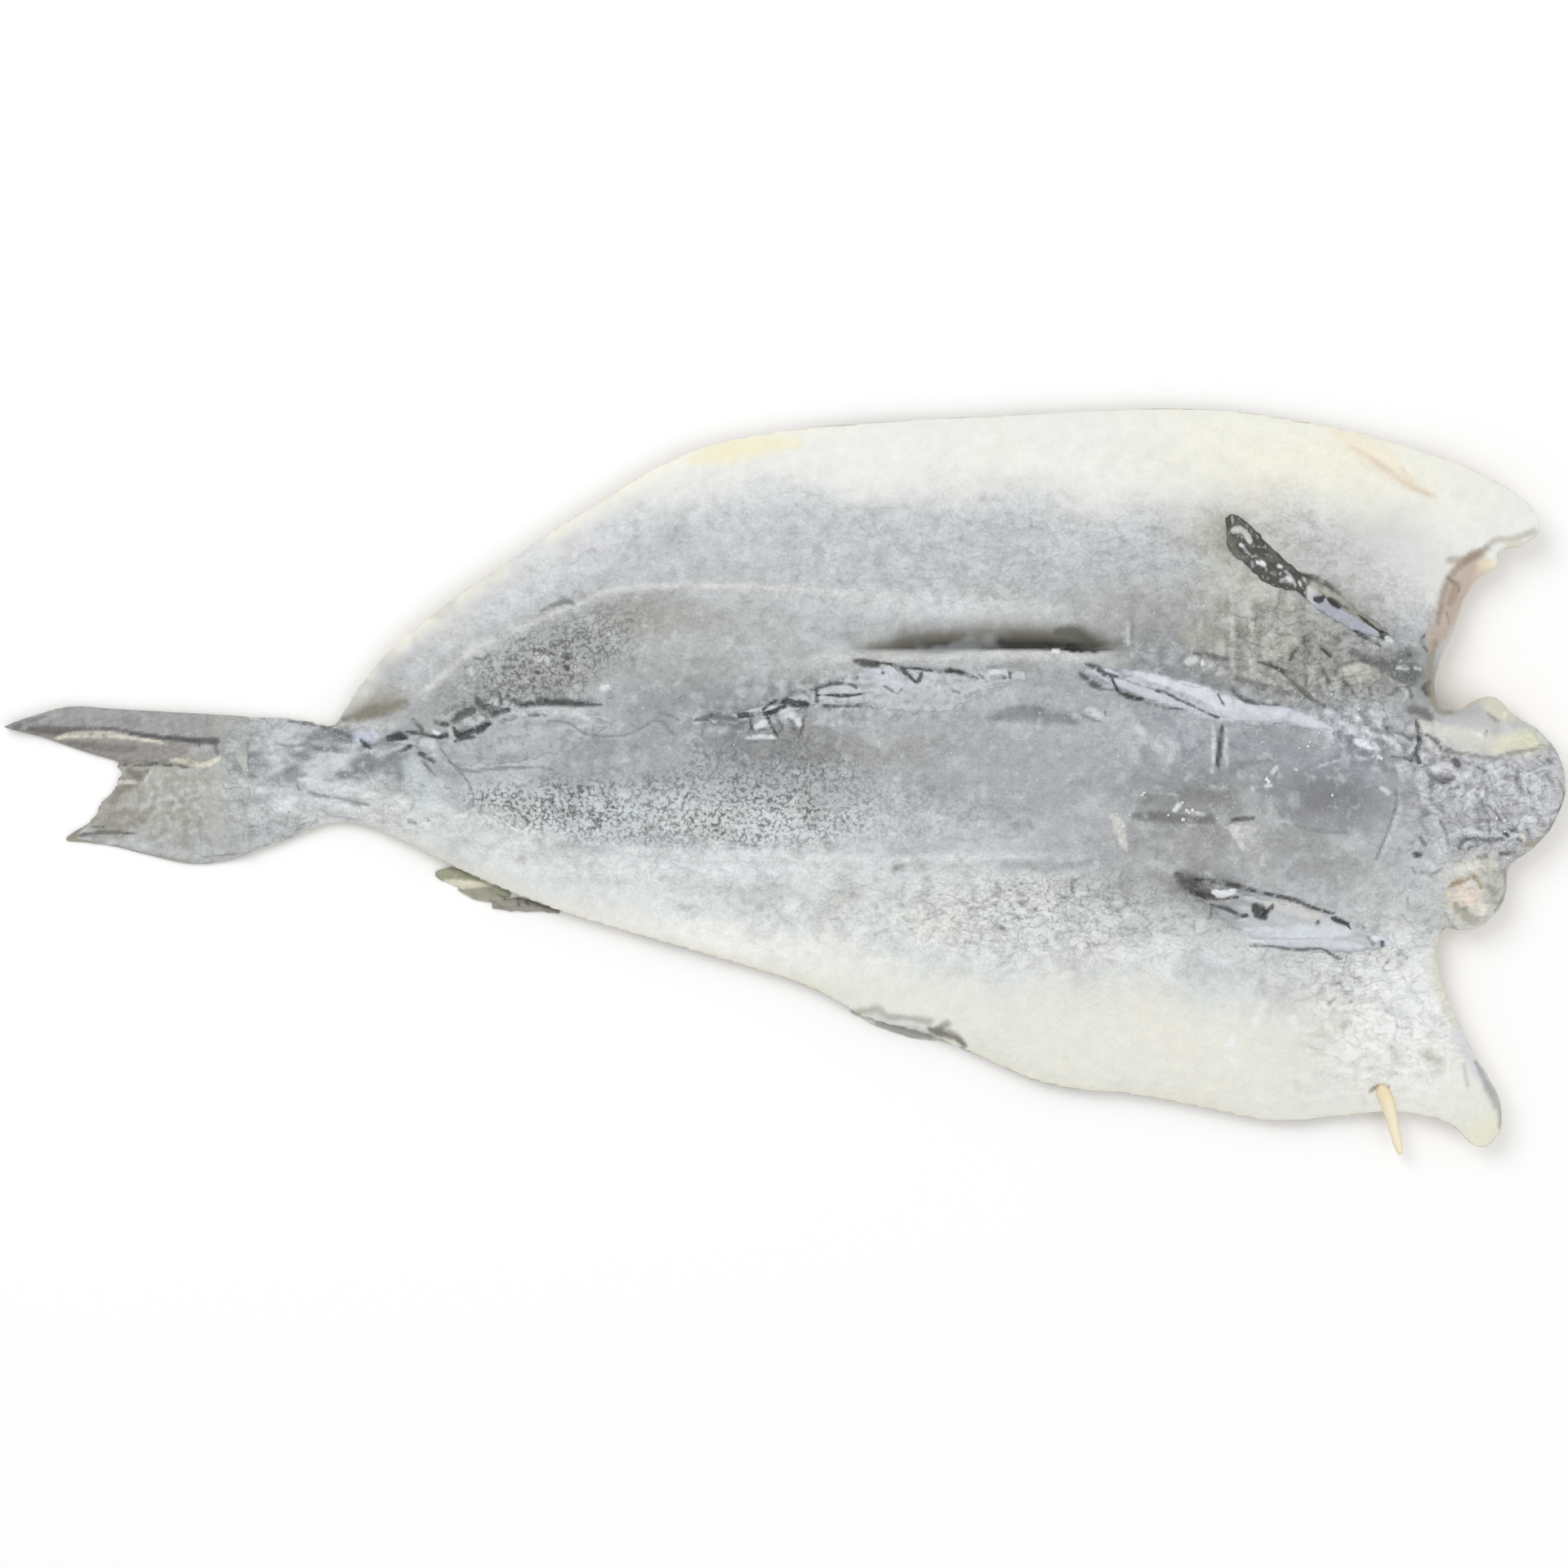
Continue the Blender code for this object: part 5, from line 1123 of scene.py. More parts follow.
    ((150, 152, 152), [(210.6, -77.8, 0.6), (213.8, -76.6, 0.8)], 0.7, 0.5),
    ((160, 161, 160), [(216, -80.2, 0.6), (219.4, -79.6, 0.6)], 0.7, 0.5),
    ((158, 160, 158), [(209.6, -85, 0.7), (212, -82.6, 0.9)], 0.7, 0.5),
    ((154, 156, 154), [(215.6, -84.6, 0.5), (219.4, -84, 0.5)], 0.7, 0.5),
    ((184, 186, 186), [(183, -75, 0.6), (185, -81, 0.7), (184.6, -84, 0.4)], 0.6, 0.6),
    (240, [(173, -97.4, 1.2), (172.6, -100.4, 1.4)], 0.7, 0.6),
    (240, [(171.6, -105.6, 1.2), (174, -107, 1.2)], 0.6, 0.6),
    (234, [(185, -84, 1.4), (182, -92, 1.5)], 0.6, 0.7),
    (236, [(196, -90, 1.2), (197, -94, 1.4)], 0.6, 0.6),
    ((202, 200, 186), [(248, -104, 2.4), (252, -107.6, 2.4)], 0.6, 0.9),
    ((208, 207, 192), [(197.4, -115, 1.4), (198.4, -117.4, 1.4)], 0.6, 0.7),
    ((142, 132, 100), [(225.4, -118.8, 0.5), (229, -116.6, 0.9), (233, -117.2, 0.5)], 0.85),
    ((236, 228, 190), [(-35, 125, 1.6), (-24, 128, 3.4), (-8, 130.6, 3.6), (6, 131, 1.6)], 0.55, 0.9),
]}


def ink(value):
    # greys are a little blue, and dark inks are laid on deeper
    red, green, blue = value if isinstance(value, tuple) else (value, value + 2, value + 4)
    deeper = min(1.0, 0.55 + red / 300)
    return tone(red * deeper, green * deeper, blue * deeper)


strokeLook = {
    "strength": 0.92,  # where a mark gives none
    "softness": 0.4,
    "narrow": 0.86,  # thin strokes are drawn this much thinner than listed
    "thinBelow": 1.3,
    "fray": 0.26,  # raggedness of the sides
    "gaps": 0.65,  # how far a thin stroke fades where it breaks up
    "evenGrey": 178,  # a mark of this grey is neither cut in nor raised
    "cutDepth": 0.9,
    "rise": 0.4,
}


def markFields(xy, areas=tuple(marks)):
    # every mark that touches these points: its colour, how much it covers and how far it is cut or raised
    flat = np.column_stack((xy, np.zeros(len(xy))))
    fray = strokeLook["fray"] * (bumps(flat, 1.5, 60) + 0.7 * bumps(flat, 3.4, 61))
    gaps = 1 - strokeLook["gaps"] * ramp(0.14, 0.5, bumps(flat, 4.2, 62) + 0.5 * bumps(flat, 1.6, 63))
    usual = (strokeLook["strength"], strokeLook["softness"])
    for stroke in itertools.chain.from_iterable(marks[area] for area in areas):
        colour, route, strength, softness = (*stroke, *usual[len(stroke) - 2:])
        line = smoothLine(route, 1.0)
        reach = line[:, 2].max() * (1 + softness) + 0.6
        low, high = line[:, :2].min(0) - reach, line[:, :2].max(0) + reach
        near = np.flatnonzero(((xy > low) & (xy < high)).all(axis=1))
        if not len(near):
            continue
        here = xy[near]
        ratio = np.full(len(near), 9.0)
        for a, b in zip(line, line[1:]):
            d = b[:2] - a[:2]
            t = np.clip(((here - a[:2]) @ d) / max(d @ d, 1e-9), 0, 1)
            off = here - a[:2] - t[:, None] * d
            width = a[2] + t * (b[2] - a[2])
            ratio = np.minimum(ratio, np.hypot(off[:, 0], off[:, 1]) / width)
        thin = line[:, 2].max() < strokeLook["thinBelow"]
        ratio = ratio / (strokeLook["narrow"] if thin else 1) + fray[near]
        share = strength * ramp(1.25 + 0.6 * softness, 1.1 - softness, ratio) * (gaps[near] if thin else 1)
        pale = (colour if isinstance(colour, int) else sum(colour) / 3) - strokeLook["evenGrey"]
        height = min(max(pale / 110, -strokeLook["cutDepth"]), strokeLook["rise"])
        yield near, ink(colour), share, height * min(line[:, 2].max(), 1.2)


def paintMarks(colour, fields):
    for near, rgb, share, _ in fields:
        colour[near] += (rgb - colour[near]) * share[:, None]


def bodyMesh():
    mesh = remeshed("splitBody", ("split_body", "tail_fin"), bodyShape["voxel"] * mm)
    mesh = thinUnderside(mesh)
    shape = bmesh.new()
    shape.from_mesh(mesh)
    cut = bmesh.ops.bisect_plane(shape, geom=shape.verts[:] + shape.edges[:] + shape.faces[:],
                                 dist=0.0001 * mm, plane_co=(bodyShape["tailCut"] * mm, 0, 0),
                                 plane_no=(-1, 0, 0), clear_outer=True)
    rim = [item for item in cut["geom_cut"] if isinstance(item, bmesh.types.BMEdge)]
    bmesh.ops.holes_fill(shape, edges=rim)
    refineAreas(shape)
    bmesh.ops.triangulate(shape, faces=[face for face in shape.faces if len(face.verts) > 4])
    shape.to_mesh(mesh)
    shape.free()
    return mesh


def thinUnderside(mesh):
    # fewer points under the fish, where there is little to see
    below = np.flatnonzero(getNormals(mesh)[:, 2] < -0.6)
    return modified("thinUnderside", mesh, "DECIMATE", below.tolist(), ratio=bodyShape["underside"])


def refineAreas(shape):
    # twice as many points where the marks run
    centres = np.array([face.calc_center_median() for face in shape.faces]) / mm
    normals = np.array([face.normal.z for face in shape.faces])
    near = np.zeros(len(centres), bool)
    for stroke in itertools.chain.from_iterable(marks.values()):
        line = smoothLine(stroke[1], 2.0)
        reach = line[:, 2].max() + 1.2
        tree = KDTree(len(line))
        for i, (x, y) in enumerate(line[:, :2]):
            tree.insert((x, y, 0), i)
        tree.balance()
        low, high = line[:, :2].min(0) - reach, line[:, :2].max(0) + reach
        for i in np.flatnonzero(((centres[:, :2] > low) & (centres[:, :2] < high)).all(axis=1)):
            near[i] |= tree.find((centres[i, 0], centres[i, 1], 0))[2] < reach + 0.4
    shape.faces.ensure_lookup_table()
    chosen = [shape.faces[i] for i in np.flatnonzero(near & (normals > 0.5))]
    edges = list({edge for face in chosen for edge in face.edges})
    bmesh.ops.subdivide_edges(shape, edges=edges, cuts=1, use_grid_fill=True)


def smoothSteps(mesh, rounds):
    # evens out the steps of the remesh, most of all where the skin lies flat
    co = getPoints(mesh)
    edges = getEdges(mesh)
    for axis in range(3):
        co[:, axis] = relax(co[:, axis], edges, 3)
    setPoints(mesh, co)
    flat = ramp(0.35, 0.8, np.abs(getNormals(mesh)[:, 2]))
    co[:, 2] = relax(co[:, 2], edges, rounds, 0.6 * flat)
    setPoints(mesh, co)
    return co


def rimDistance(points, normals):
    # how far in from the outline each point lies, in mm
    rim = np.flatnonzero(np.abs(normals[:, 2]) < 0.45)
    rim = rim[points[rim, 0] > bodyShape["tailCut"] + 3]
    tree = KDTree(len(rim))
    for slot, i in enumerate(rim):
        tree.insert((points[i, 0], points[i, 1], 0), slot)
    tree.balance()
    return np.array([tree.find((x, y, 0))[2] for x, y in points[:, :2]])


def wrinkleField(points):
    # fine folds of dried skin by the neck, on the nape and on the lower corner, and where they are
    xy = points[:, :2]
    names = ("nape", "lower corner", "shoulder", "stalk")
    nape, corner, shoulder, stalk = (zone(xy, name) for name in names)
    flank = zone(xy, "upper flank") * 0.5 + zone(xy, "lower flank") * 0.6
    warp = points + 2.2 * np.column_stack([bumps(points, 9, 40 + k) for k in range(3)])
    folds = nape * (0.6 * ridges(stretched(warp, -50, 1.7, 1), 6.0, 50) + 0.5 * ridges(warp, 3.2, 55))
    folds += corner * ridges(stretched(warp, 160, 2.6, 1), 4.6, 51) * 0.8
    folds += shoulder * ridges(stretched(warp, 60, 1.8, 1), 5.5, 52) * 0.85
    folds += stalk * ridges(stretched(warp, 10, 2.6, 1), 4.4, 53) * 0.35
    folds += flank * ridges(stretched(warp, 80, 1.3, 1), 5.0, 54) * 0.35
    smooth = 1 - zone(xy, "plate")
    return folds * smooth, np.clip(nape + corner + shoulder + stalk + flank, 0, 1) * smooth


def ridges(points, size, seed):
    # sharp-topped folds, 0 in the furrows and 1 on the crests
    return 1 - np.abs(bumps(points, size, seed)) * 2.2


def lateralRidge(xy, route):
    distance, place, _ = lineField(xy, route, 8)
    line = np.exp(-((distance / bodyShape["lateralWidth"]) ** 2))
    return line * ramp(0, 0.06, place) * ramp(1.0, 0.8, place)


def foldGroove(xy):
    # the back's strip overhangs a deep groove on its left side
    distance, _, side = lineField(xy, slackFold, 24)
    x = xy[:, 0]
    length = ramp(12, 62, x) * ramp(134, 112, x)
    wall = np.where(side > 0, np.exp(-((distance / 6.5) ** 1.3)), np.exp(-((distance / 0.7) ** 2)))
    lip = np.where(side < 0, np.exp(-(((distance - 3.0) / 3.0) ** 2)), 0)
    lip = lip * ramp(-30, 30, x) * ramp(140, 110, x)
    return length * wall, lip


def clumpField(xy, points):
    # ragged clumps along the foot of each back fin
    finFoot = 0.9 * (zone(xy, "foot of the third fin") + zone(xy, "foot of the second fin"))
    finFoot += 0.6 * zone(xy, "foot of the first fin")
    return finFoot, bumps(stretched(points, 10, 1.4, 1), 3.6, 70) + 0.6 * bumps(points, 1.5, 71)


def crustField(xy, points):
    # salt crust broken into lumps before the neck and on the nape
    crust = zone(xy, "crust") + 0.9 * zone(xy, "crust by the neck") + 0.6 * zone(xy, "crust of the nape")
    return crust, bumps(stretched(points, -30, 1.3, 1), 3.2, 75) + 0.5 * bumps(points, 1.5, 76)


def swellBody(f):
    # how far each point of the skin stands proud, in mm
    flat, xy = f["points"], f["xy"]
    lift = bodyShape["swell"] * bumps(flat, 58, 1) * ramp(0, 25, f["rim"])
    lift += 0.45 * bumps(flat, 21, 2) * ramp(0, 12, f["rim"])
    lift += bodyShape["pucker"] * bumps(flat, 7, 3) + 0.13 * bumps(flat, 3.4, 4)
    lift += bodyShape["lateralHeight"] * (lateralRidge(xy, upperLateral) + lateralRidge(xy, lowerLateral))
    lift += bodyShape["foldHeight"] * (f["folds"] - 0.5 * f["wrinkled"])
    lift += 0.9 * f["lip"] - bodyShape["foldDepth"] * f["groove"]
    for near, _, share, height in f["marks"]:
        lift[near] += height * share
    finFoot, clumps = clumpField(xy, flat)
    crust, lumps = crustField(xy, flat)
    lift += bodyShape["clumpHeight"] * finFoot * clumps + bodyShape["crustHeight"] * crust * lumps
    lift += 1.1 * zone(xy, "swelling by the third fin") + 1.0 * zone(xy, "swelling by the second fin")
    lift += 1.5 * zone(xy, "raised plate") - 1.4 * zone(xy, "peach crease", 2)
    return lift * ramp(-3, 3, f["rim"])


def shapeBody(mesh):
    points = getPoints(mesh) / mm
    normals = getNormals(mesh)
    x, y, z = points.T
    f = {"xy": points[:, :2], "x": x, "y": y, "z": z, "rim": rimDistance(points, normals)}
    f["points"] = np.column_stack((x, y, np.zeros(len(x))))
    f["across"] = y - np.interp(x, *zip(*backLine))
    f["upper"] = ramp(0.05, 0.6, normals[:, 2])
    f["under"] = ramp(0.05, 0.6, -normals[:, 2])
    f["side"] = 1 - np.clip(np.abs(normals[:, 2]), 0, 1)
    f["folds"], f["wrinkled"] = wrinkleField(points)
    f["groove"], f["lip"] = foldGroove(f["xy"])
    f["flakes"] = flakeField(points, f["across"])
    f["marks"] = list(markFields(f["xy"]))
    hollow = 0.45 * f["flakes"] + 0.35 * bumps(f["points"], 9, 6)
    points[:, 2] = z + swellBody(f) * f["upper"] + np.where(z > 0.6, hollow * f["under"], 0)
    skinOverTail(points, f["xy"], f["upper"], f["under"])
    wobble = 0.55 * bumps(points, 7, 8) + 0.3 * bumps(points, 2.6, 9)
    front = ramp(225, 250, x)
    points[:, :2] += normals[:, :2] * (wobble * f["side"] * (0.35 + 0.65 * front))[:, None]
    points[:, 2] = np.maximum(points[:, 2], 0.0)
    setPoints(mesh, points * mm)
    return f


def flakeField(points, across):
    # edges of the muscle flakes on the flesh side, in V-shaped rows
    row = points[:, 0] + 0.55 * np.abs(across) + 3.5 * bumps(points, 16, 11)
    return np.abs(((row / 8.5) % 1.0) * 2 - 1) ** 3


def skinOverTail(points, xy, upper, under):
    # the scaly skin thins out over the root of the tail fin and sinks into it along a ragged line
    root = -206
    flat = np.column_stack((xy, np.zeros(len(xy))))
    end = -214 + 5.5 * bumps(flat, 9, 15) + 2 * bumps(flat, 3, 16)
    out = np.clip((root - xy[:, 0]) / (root - end), 0, 3)
    over = xy[:, 0] < root
    points[over, 2] += (0.45 * (1 - out[over]) - 1.5 * np.maximum(out[over] - 1, 0)) * upper[over]
    points[over, 1] *= 1 - 0.05 * np.minimum(out[over], 1.6)
    points[over & (under > 0.3), 2] += 1.0


def paintBroadTones(colour, f, above, below):
    x, y, rim, points = f["x"], f["y"], f["rim"], f["points"]
    cover(colour, (206, 208, 211), ramp(-34, 4, above))
    cover(colour, (204, 208, 209), ramp(-30, 4, below))
    cover(colour, (232, 233, 228), ramp(-14, 16, above))
    cover(colour, (228, 228, 219), ramp(-12, 16, below))
    for seed, (place, size, turn, rgb, strength) in enumerate(bodyTints.values()):
        edge = oval(f["xy"], place, size, turn, 2.6)
        ragged = bumps(points, 0.35 * min(size) + 3, 200 + seed)
        edge = np.clip(edge + 0.35 * ragged * edge * (1 - edge) * 2, 0, 1)
        cover(colour, rgb, strength * edge)
    leftRim = ramp(8, 0, rim) * ramp(16, 26, y) * ramp(60, -40, x) * ramp(-172, -158, x)
    rightRim = ramp(5, 0, rim) * ramp(-14, -22, y) * ramp(230, 150, x) * ramp(-165, -140, x)
    cover(colour, (242, 240, 222), 0.6 * leftRim)
    cover(colour, (226, 224, 206), 0.5 * rightRim)


def paintRelief(colour, f):
    # painted light: the raised lateral lines and the lip of the groove get painted highlight, and the
    # furrows and the groove get painted shade
    cover(colour, (214, 215, 211), 0.85 * lateralRidge(f["xy"], upperLateral))
    cover(colour, (226, 229, 229), 0.85 * lateralRidge(f["xy"], lowerLateral))
    # painted shade in the furrows of the folds
    furrowShade = np.clip(0.62 - f["folds"], 0, 1) * f["wrinkled"]
    colour *= (1 - (0.30 - 0.16 * zone(f["xy"], "pale of the corner")) * furrowShade)[:, None]
    cover(colour, (212, 214, 211), 0.6 * f["lip"])
    # painted shadow in the groove under the overhanging strip, near black where it is deepest
    cover(colour, (104, 101, 92), ramp(0.03, 0.5, f["groove"]))
    cover(colour, (30, 28, 26), ramp(0.45, 0.95, f["groove"]))


def paintCrust(colour, f, cream):
    # frosted and smeared patches of the back, clumps by the fins and crust before the neck
    xy, points = f["xy"], f["points"]
    frosting = bumps(stretched(points, 0, 1.6, 1), 15, 35) + 0.5 * bumps(points, 6, 36)
    cover(colour, (204, 211, 212), 0.30 * ramp(0.1, 0.6, frosting) * (1 - cream))
    smears = bumps(stretched(points, 4, 1.8, 1), 13, 37) + 0.5 * bumps(points, 5, 38)
    cover(colour, (150, 149, 149), 0.26 * ramp(0.1, 0.6, smears) * (1 - cream))
    finFoot, clumps = clumpField(xy, points)
    # painted shade in the hollows between the clumps by the fins
    cover(colour, (98, 100, 102), 0.55 * finFoot * ramp(-0.12, -0.38, clumps))
    cover(colour, (214, 217, 220), 0.5 * finFoot * ramp(0.14, 0.40, clumps))
    crust, lumps = crustField(xy, points)
    cover(colour, (104, 106, 113), 0.55 * crust * ramp(-0.08, -0.3, lumps))
    cover(colour, (230, 232, 240), 0.6 * crust * ramp(0.06, 0.32, lumps))


def paintStreaks(colour, f):
    # upright streaks on the shoulder, level ones along the stalk
    xy, points = f["xy"], f["points"]
    upright = bumps(stretched(points, 90, 3.0, 1), 4.0, 77) * zone(xy, "streaked shoulder")
    cover(colour, (132, 131, 119), 0.45 * ramp(0.05, 0.32, upright))
    cover(colour, (208, 207, 195), 0.45 * ramp(-0.05, -0.32, upright))
    stalk = zone(xy, "streaked stalk")
    streaks = bumps(stretched(points, 4, 2.8, 1), 6.5, 72)
    streaks = streaks + 0.5 * bumps(stretched(points, 4, 2.0, 1), 2.8, 73)
    cover(colour, (112, 116, 121), (0.3 + 0.45 * ramp(-4, 6, f["y"])) * stalk * ramp(0.0, 0.26, streaks))
    cover(colour, (214, 217, 220), 0.65 * stalk * ramp(-0.04, -0.28, streaks))


def fleshColour(f, soft):
    # the cut side: pale flakes, dark membrane on the flaps, blood along the back and a raw face at the neck
    x, xy, under = f["x"], f["xy"], f["under"]
    meat = np.tile(tone(230, 222, 200), (len(x), 1)) * (1 - 0.10 * f["flakes"] + 0.05 * soft)[:, None]
    membrane = ramp(0.1, 0.45, bumps(f["points"], 30, 33)) * ramp(40, 60, np.abs(f["across"])) * under
    cover(meat, (120, 112, 104), 0.55 * membrane)
    blood = np.exp(-((f["across"] / 5) ** 2)) * under * ramp(-60, -20, x) * ramp(262, 240, x)
    cover(meat, (150, 96, 72), 0.6 * blood)
    cutFace = ramp(240, 252, x) * f["side"]
    cover(meat, (214, 190, 160), 0.6 * cutFace)
    fibres = bumps(np.column_stack((xy[:, 0], xy[:, 1] * 0.8, 0.5 * f["z"])), 2.4, 74)
    cover(meat, (178, 146, 122), 0.5 * cutFace * ramp(0.02, 0.4, fibres))
    return meat


def skinMasks(f, cream, calm):
    # where the material adds specks, fine wrinkles and frost
    xy, points = f["xy"], f["points"]
    patchy = 0.75 + 0.5 * bumps(stretched(points, 0, 1.5, 1), 9, 39)
    speckle = patchy * (1.15 * zone(xy, "specks", 5) + 0.7 * zone(xy, "specks by the second fin")
                        + 0.4 * zone(xy, "last specks") + 0.5 * zone(xy, "specks by the stalk"))
    speckle += 0.9 * zone(xy, "specks of the shoulder") + 0.3 * zone(xy, "specks of the lower flank")
    wrinkle = np.clip(0.35 + f["wrinkled"] - 0.8 * cream - zone(xy, "smooth lilac"), 0, 1)
    for name, share in (("even grey", 0.6), ("streaked stalk", 0.6), ("smooth upper flank", 0.5)):
        wrinkle = wrinkle * (1 - share * zone(xy, name))
    frost = np.clip(0.35 + 0.8 * bumps(points, 24, 34) - 0.3 * cream, 0, 1)
    frost += 0.8 * zone(xy, "frost before the neck", 2) + 0.5 * f["wrinkled"]
    return np.column_stack((speckle, wrinkle * calm, frost * calm))


def paintBody(mesh, f):
    x, y, points = f["x"], f["y"], f["points"]
    soft = bumps(points, 26, 20)
    above = y - np.interp(x, *zip(*creamAbove)) + 7 * soft
    below = np.interp(x, *zip(*creamBelow)) - y + 6 * soft
    cream = np.clip(ramp(-8, 14, above) + ramp(-8, 14, below), 0, 1)
    colour = np.tile(tone(184, 187, 189), (len(x), 1))
    paintBroadTones(colour, f, above, below)
    paintRelief(colour, f)
    paintCrust(colour, f, cream)
    paintStreaks(colour, f)
    mottle = 0.05 * bumps(points, 11, 30) + 0.05 * bumps(points, 4.6, 31) + 0.035 * bumps(points, 2.2, 32)
    colour *= (1 + mottle * (1 - 0.8 * cream))[:, None]
    paintMarks(colour, f["marks"])
    warmth = bumps(points, 34, 22)
    colour *= np.column_stack((1 + 0.010 * warmth, np.ones(len(x)), 1 - 0.018 * warmth))
    flesh = np.clip(1 - f["upper"], 0, 1) * ramp(-212, -200, x)
    colour += (fleshColour(f, soft) - colour) * flesh[:, None]
    calm = 1 - ramp(12, 3, f["rim"]) * ramp(14, 26, y) * ramp(-172, -158, x)
    calm *= (1 - np.clip(2 * f["groove"], 0, 1)) * (1 - 0.8 * zone(f["xy"], "plate"))
    blotchy = np.clip(1 - 0.85 * cream, 0, 1) * (1 - flesh) * calm
    giveColour(mesh, "tint", np.clip(colour, 0.01, 0.95), blotchy)
    giveColour(mesh, "marks", np.clip(skinMasks(f, cream, calm) * (1 - flesh)[:, None], 0, 1))


def makeBody():
    mesh = bodyMesh()
    smoothSteps(mesh, 40)
    paintBody(mesh, shapeBody(mesh))
    mesh.shade_smooth()
    mesh.materials.append(skinMaterial("saltedSkin"))
    body = newObject("splitBody", mesh)
    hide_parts("split_body")
    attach(body, "root")
    bpy.context.view_layer.update()
    triangles = sum(len(face.vertices) - 2 for face in mesh.polygons)
    print("body:", triangles, "triangles")
    return body


body = makeBody()
skinAt = skinFinder(body)


# The fins

def bridged(ground, rounds):
    # a stiff leaf spans the small hollows of what it lies on
    for _ in range(rounds):
        ground[1:-1] = (ground[:-2] + 2 * ground[1:-1] + ground[2:]) / 4
        ground[:, 1:-1] = (ground[:, :-2] + 2 * ground[:, 1:-1] + ground[:, 2:]) / 4
    return ground.ravel()


def leafFaces(rows, columns):
    # an upper and a lower sheet, joined by a wall round the edge
    count = rows * columns
    index = np.arange(count).reshape(rows, columns)
    a, b, c, d = index[:-1, :-1], index[1:, :-1], index[1:, 1:], index[:-1, 1:]
    upperFaces = np.stack((d, c, b, a), axis=-1).reshape(-1, 4)
    lowerFaces = np.stack((a, b, c, d), axis=-1).reshape(-1, 4) + count
    loop = np.concatenate((index[:, 0], index[-1, 1:], index[-2::-1, -1], index[0, -2:0:-1]))
    after = np.roll(loop, -1)
    walls = np.column_stack((loop, after, after + count, loop + count))
    return np.vstack((upperFaces, lowerFaces, walls)).tolist()


def leafMesh(name, spec, base):
    # closed thin leaf along a route of (x, y, half-width) points, lying on base(x, y); all in mm
    line = smoothLine(spec["route"], spec["grain"])
    heading = np.gradient(line[:, :2], axis=0)
    heading /= np.linalg.norm(heading, axis=1)[:, None]
    rows, columns = len(line), max(5, int(2 * line[:, 2].max() / spec["grain"]))
    v = np.tile(np.linspace(-1, 1, columns), rows)
    u = np.repeat(np.linspace(0, 1, rows), columns)
    centre = np.repeat(line[:, :2], columns, axis=0)
    normal = np.repeat(np.column_stack((-heading[:, 1], heading[:, 0])), columns, axis=0)
    half = np.repeat(line[:, 2], columns)
    edge = np.column_stack((centre, 40 * np.sign(v)))
    torn = spec["torn"] * (bumps(edge, 4, spec["seed"]) + 0.5 * bumps(edge, 1.7, 5))
    xy = centre + normal * (v * (half + torn))[:, None]
    ground = np.array([base(px, py) for px, py in xy]).reshape(rows, columns)
    ground = bridged(ground, spec.get("bridging", 4))
    body = np.clip(1 - 0.97 * v**2, 0, 1) ** spec.get("profile", 0.5) * ramp(0, 0.05, u) * ramp(1, 0.95, u)
    rays = 0.5 + 0.5 * np.cos(math.pi * (spec["rays"] * v + spec.get("slant", 0) * u))
    points = np.column_stack((xy, np.zeros(len(xy))))
    z = ground + 0.12 + spec["thickness"] * body + spec["rayHeight"] * rays * body
    z += 0.25 * body * bumps(points, 5, spec["seed"] + 1)
    top = np.column_stack((xy, z))
    bottom = np.column_stack((xy, np.maximum(ground - 0.5, 0.02)))
    mesh = bpy.data.meshes.new(name)
    mesh.from_pydata((np.vstack((top, bottom)) * mm).tolist(), [], leafFaces(rows, columns))
    shape = bmesh.new()
    shape.from_mesh(mesh)
    bmesh.ops.recalc_face_normals(shape, faces=shape.faces[:])
    shape.to_mesh(mesh)
    shape.free()
    mesh.shade_smooth()
    fields = {"u": u, "v": v, "rays": rays, "xy": xy, "points": points}
    return mesh, {key: np.concatenate((value, value)) for key, value in fields.items()}


def makeLeaf(name, spec, base, paint, material, node):
    mesh, fields = leafMesh(name, spec, base)
    colour = np.tile(tone(*spec["membrane"]), (len(fields["u"]), 1))
    paint(colour, spec, fields)
    paintMarks(colour, markFields(fields["xy"], spec.get("areas", marks)))
    giveColour(mesh, "tint", np.clip(colour, 0.005, 0.95), spec.get("blotchy", 0.3))
    giveColour(mesh, "marks", np.tile(spec["masks"], (len(colour), 1)))
    mesh.materials.append(material)
    leaf = newObject(name, mesh)
    if node:
        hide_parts(node)
    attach(leaf, "root")


# In every fin: route and half-widths in mm, "grain" between points, "torn" raggedness of the edge,
# "profile" from a domed section at 0.5 to a flat-edged one, and "masks" for specks, wrinkles and frost
backFinLook = {"grain": 0.55, "thickness": 0.9, "rays": 3, "slant": 2, "rayHeight": 0.06, "torn": 1.6,
               "profile": 1.2, "blotchy": 0.8, "masks": (0.0, 0.3, 0.25)}
thirdBackFin = {
    **backFinLook, "seed": 301, "membrane": (180, 185, 188), "gap": (112, 116, 120),
    "route": [(-150, 17, 0.8), (-138, 15, 2.6), (-125, 14, 6.0), (-110, 15.6, 7.6), (-96, 18, 8.2),
              (-83, 20, 7.0), (-73, 22, 3.6), (-66, 22.4, 0.9)],
}
secondBackFin = {
    **backFinLook, "seed": 311, "rays": 4, "slant": 3, "membrane": (196, 201, 205), "gap": (120, 124, 130),
    "route": [(92, 41, 0.9), (80, 40, 3.4), (66, 36.4, 7.0), (52, 35.6, 8.4), (38, 37, 8.0), (26, 36, 5.4),
              (13, 33.4, 2.8), (0, 29.6, 2.4), (-18, 25.6, 1.8), (-35, 24.3, 0.8)],
}
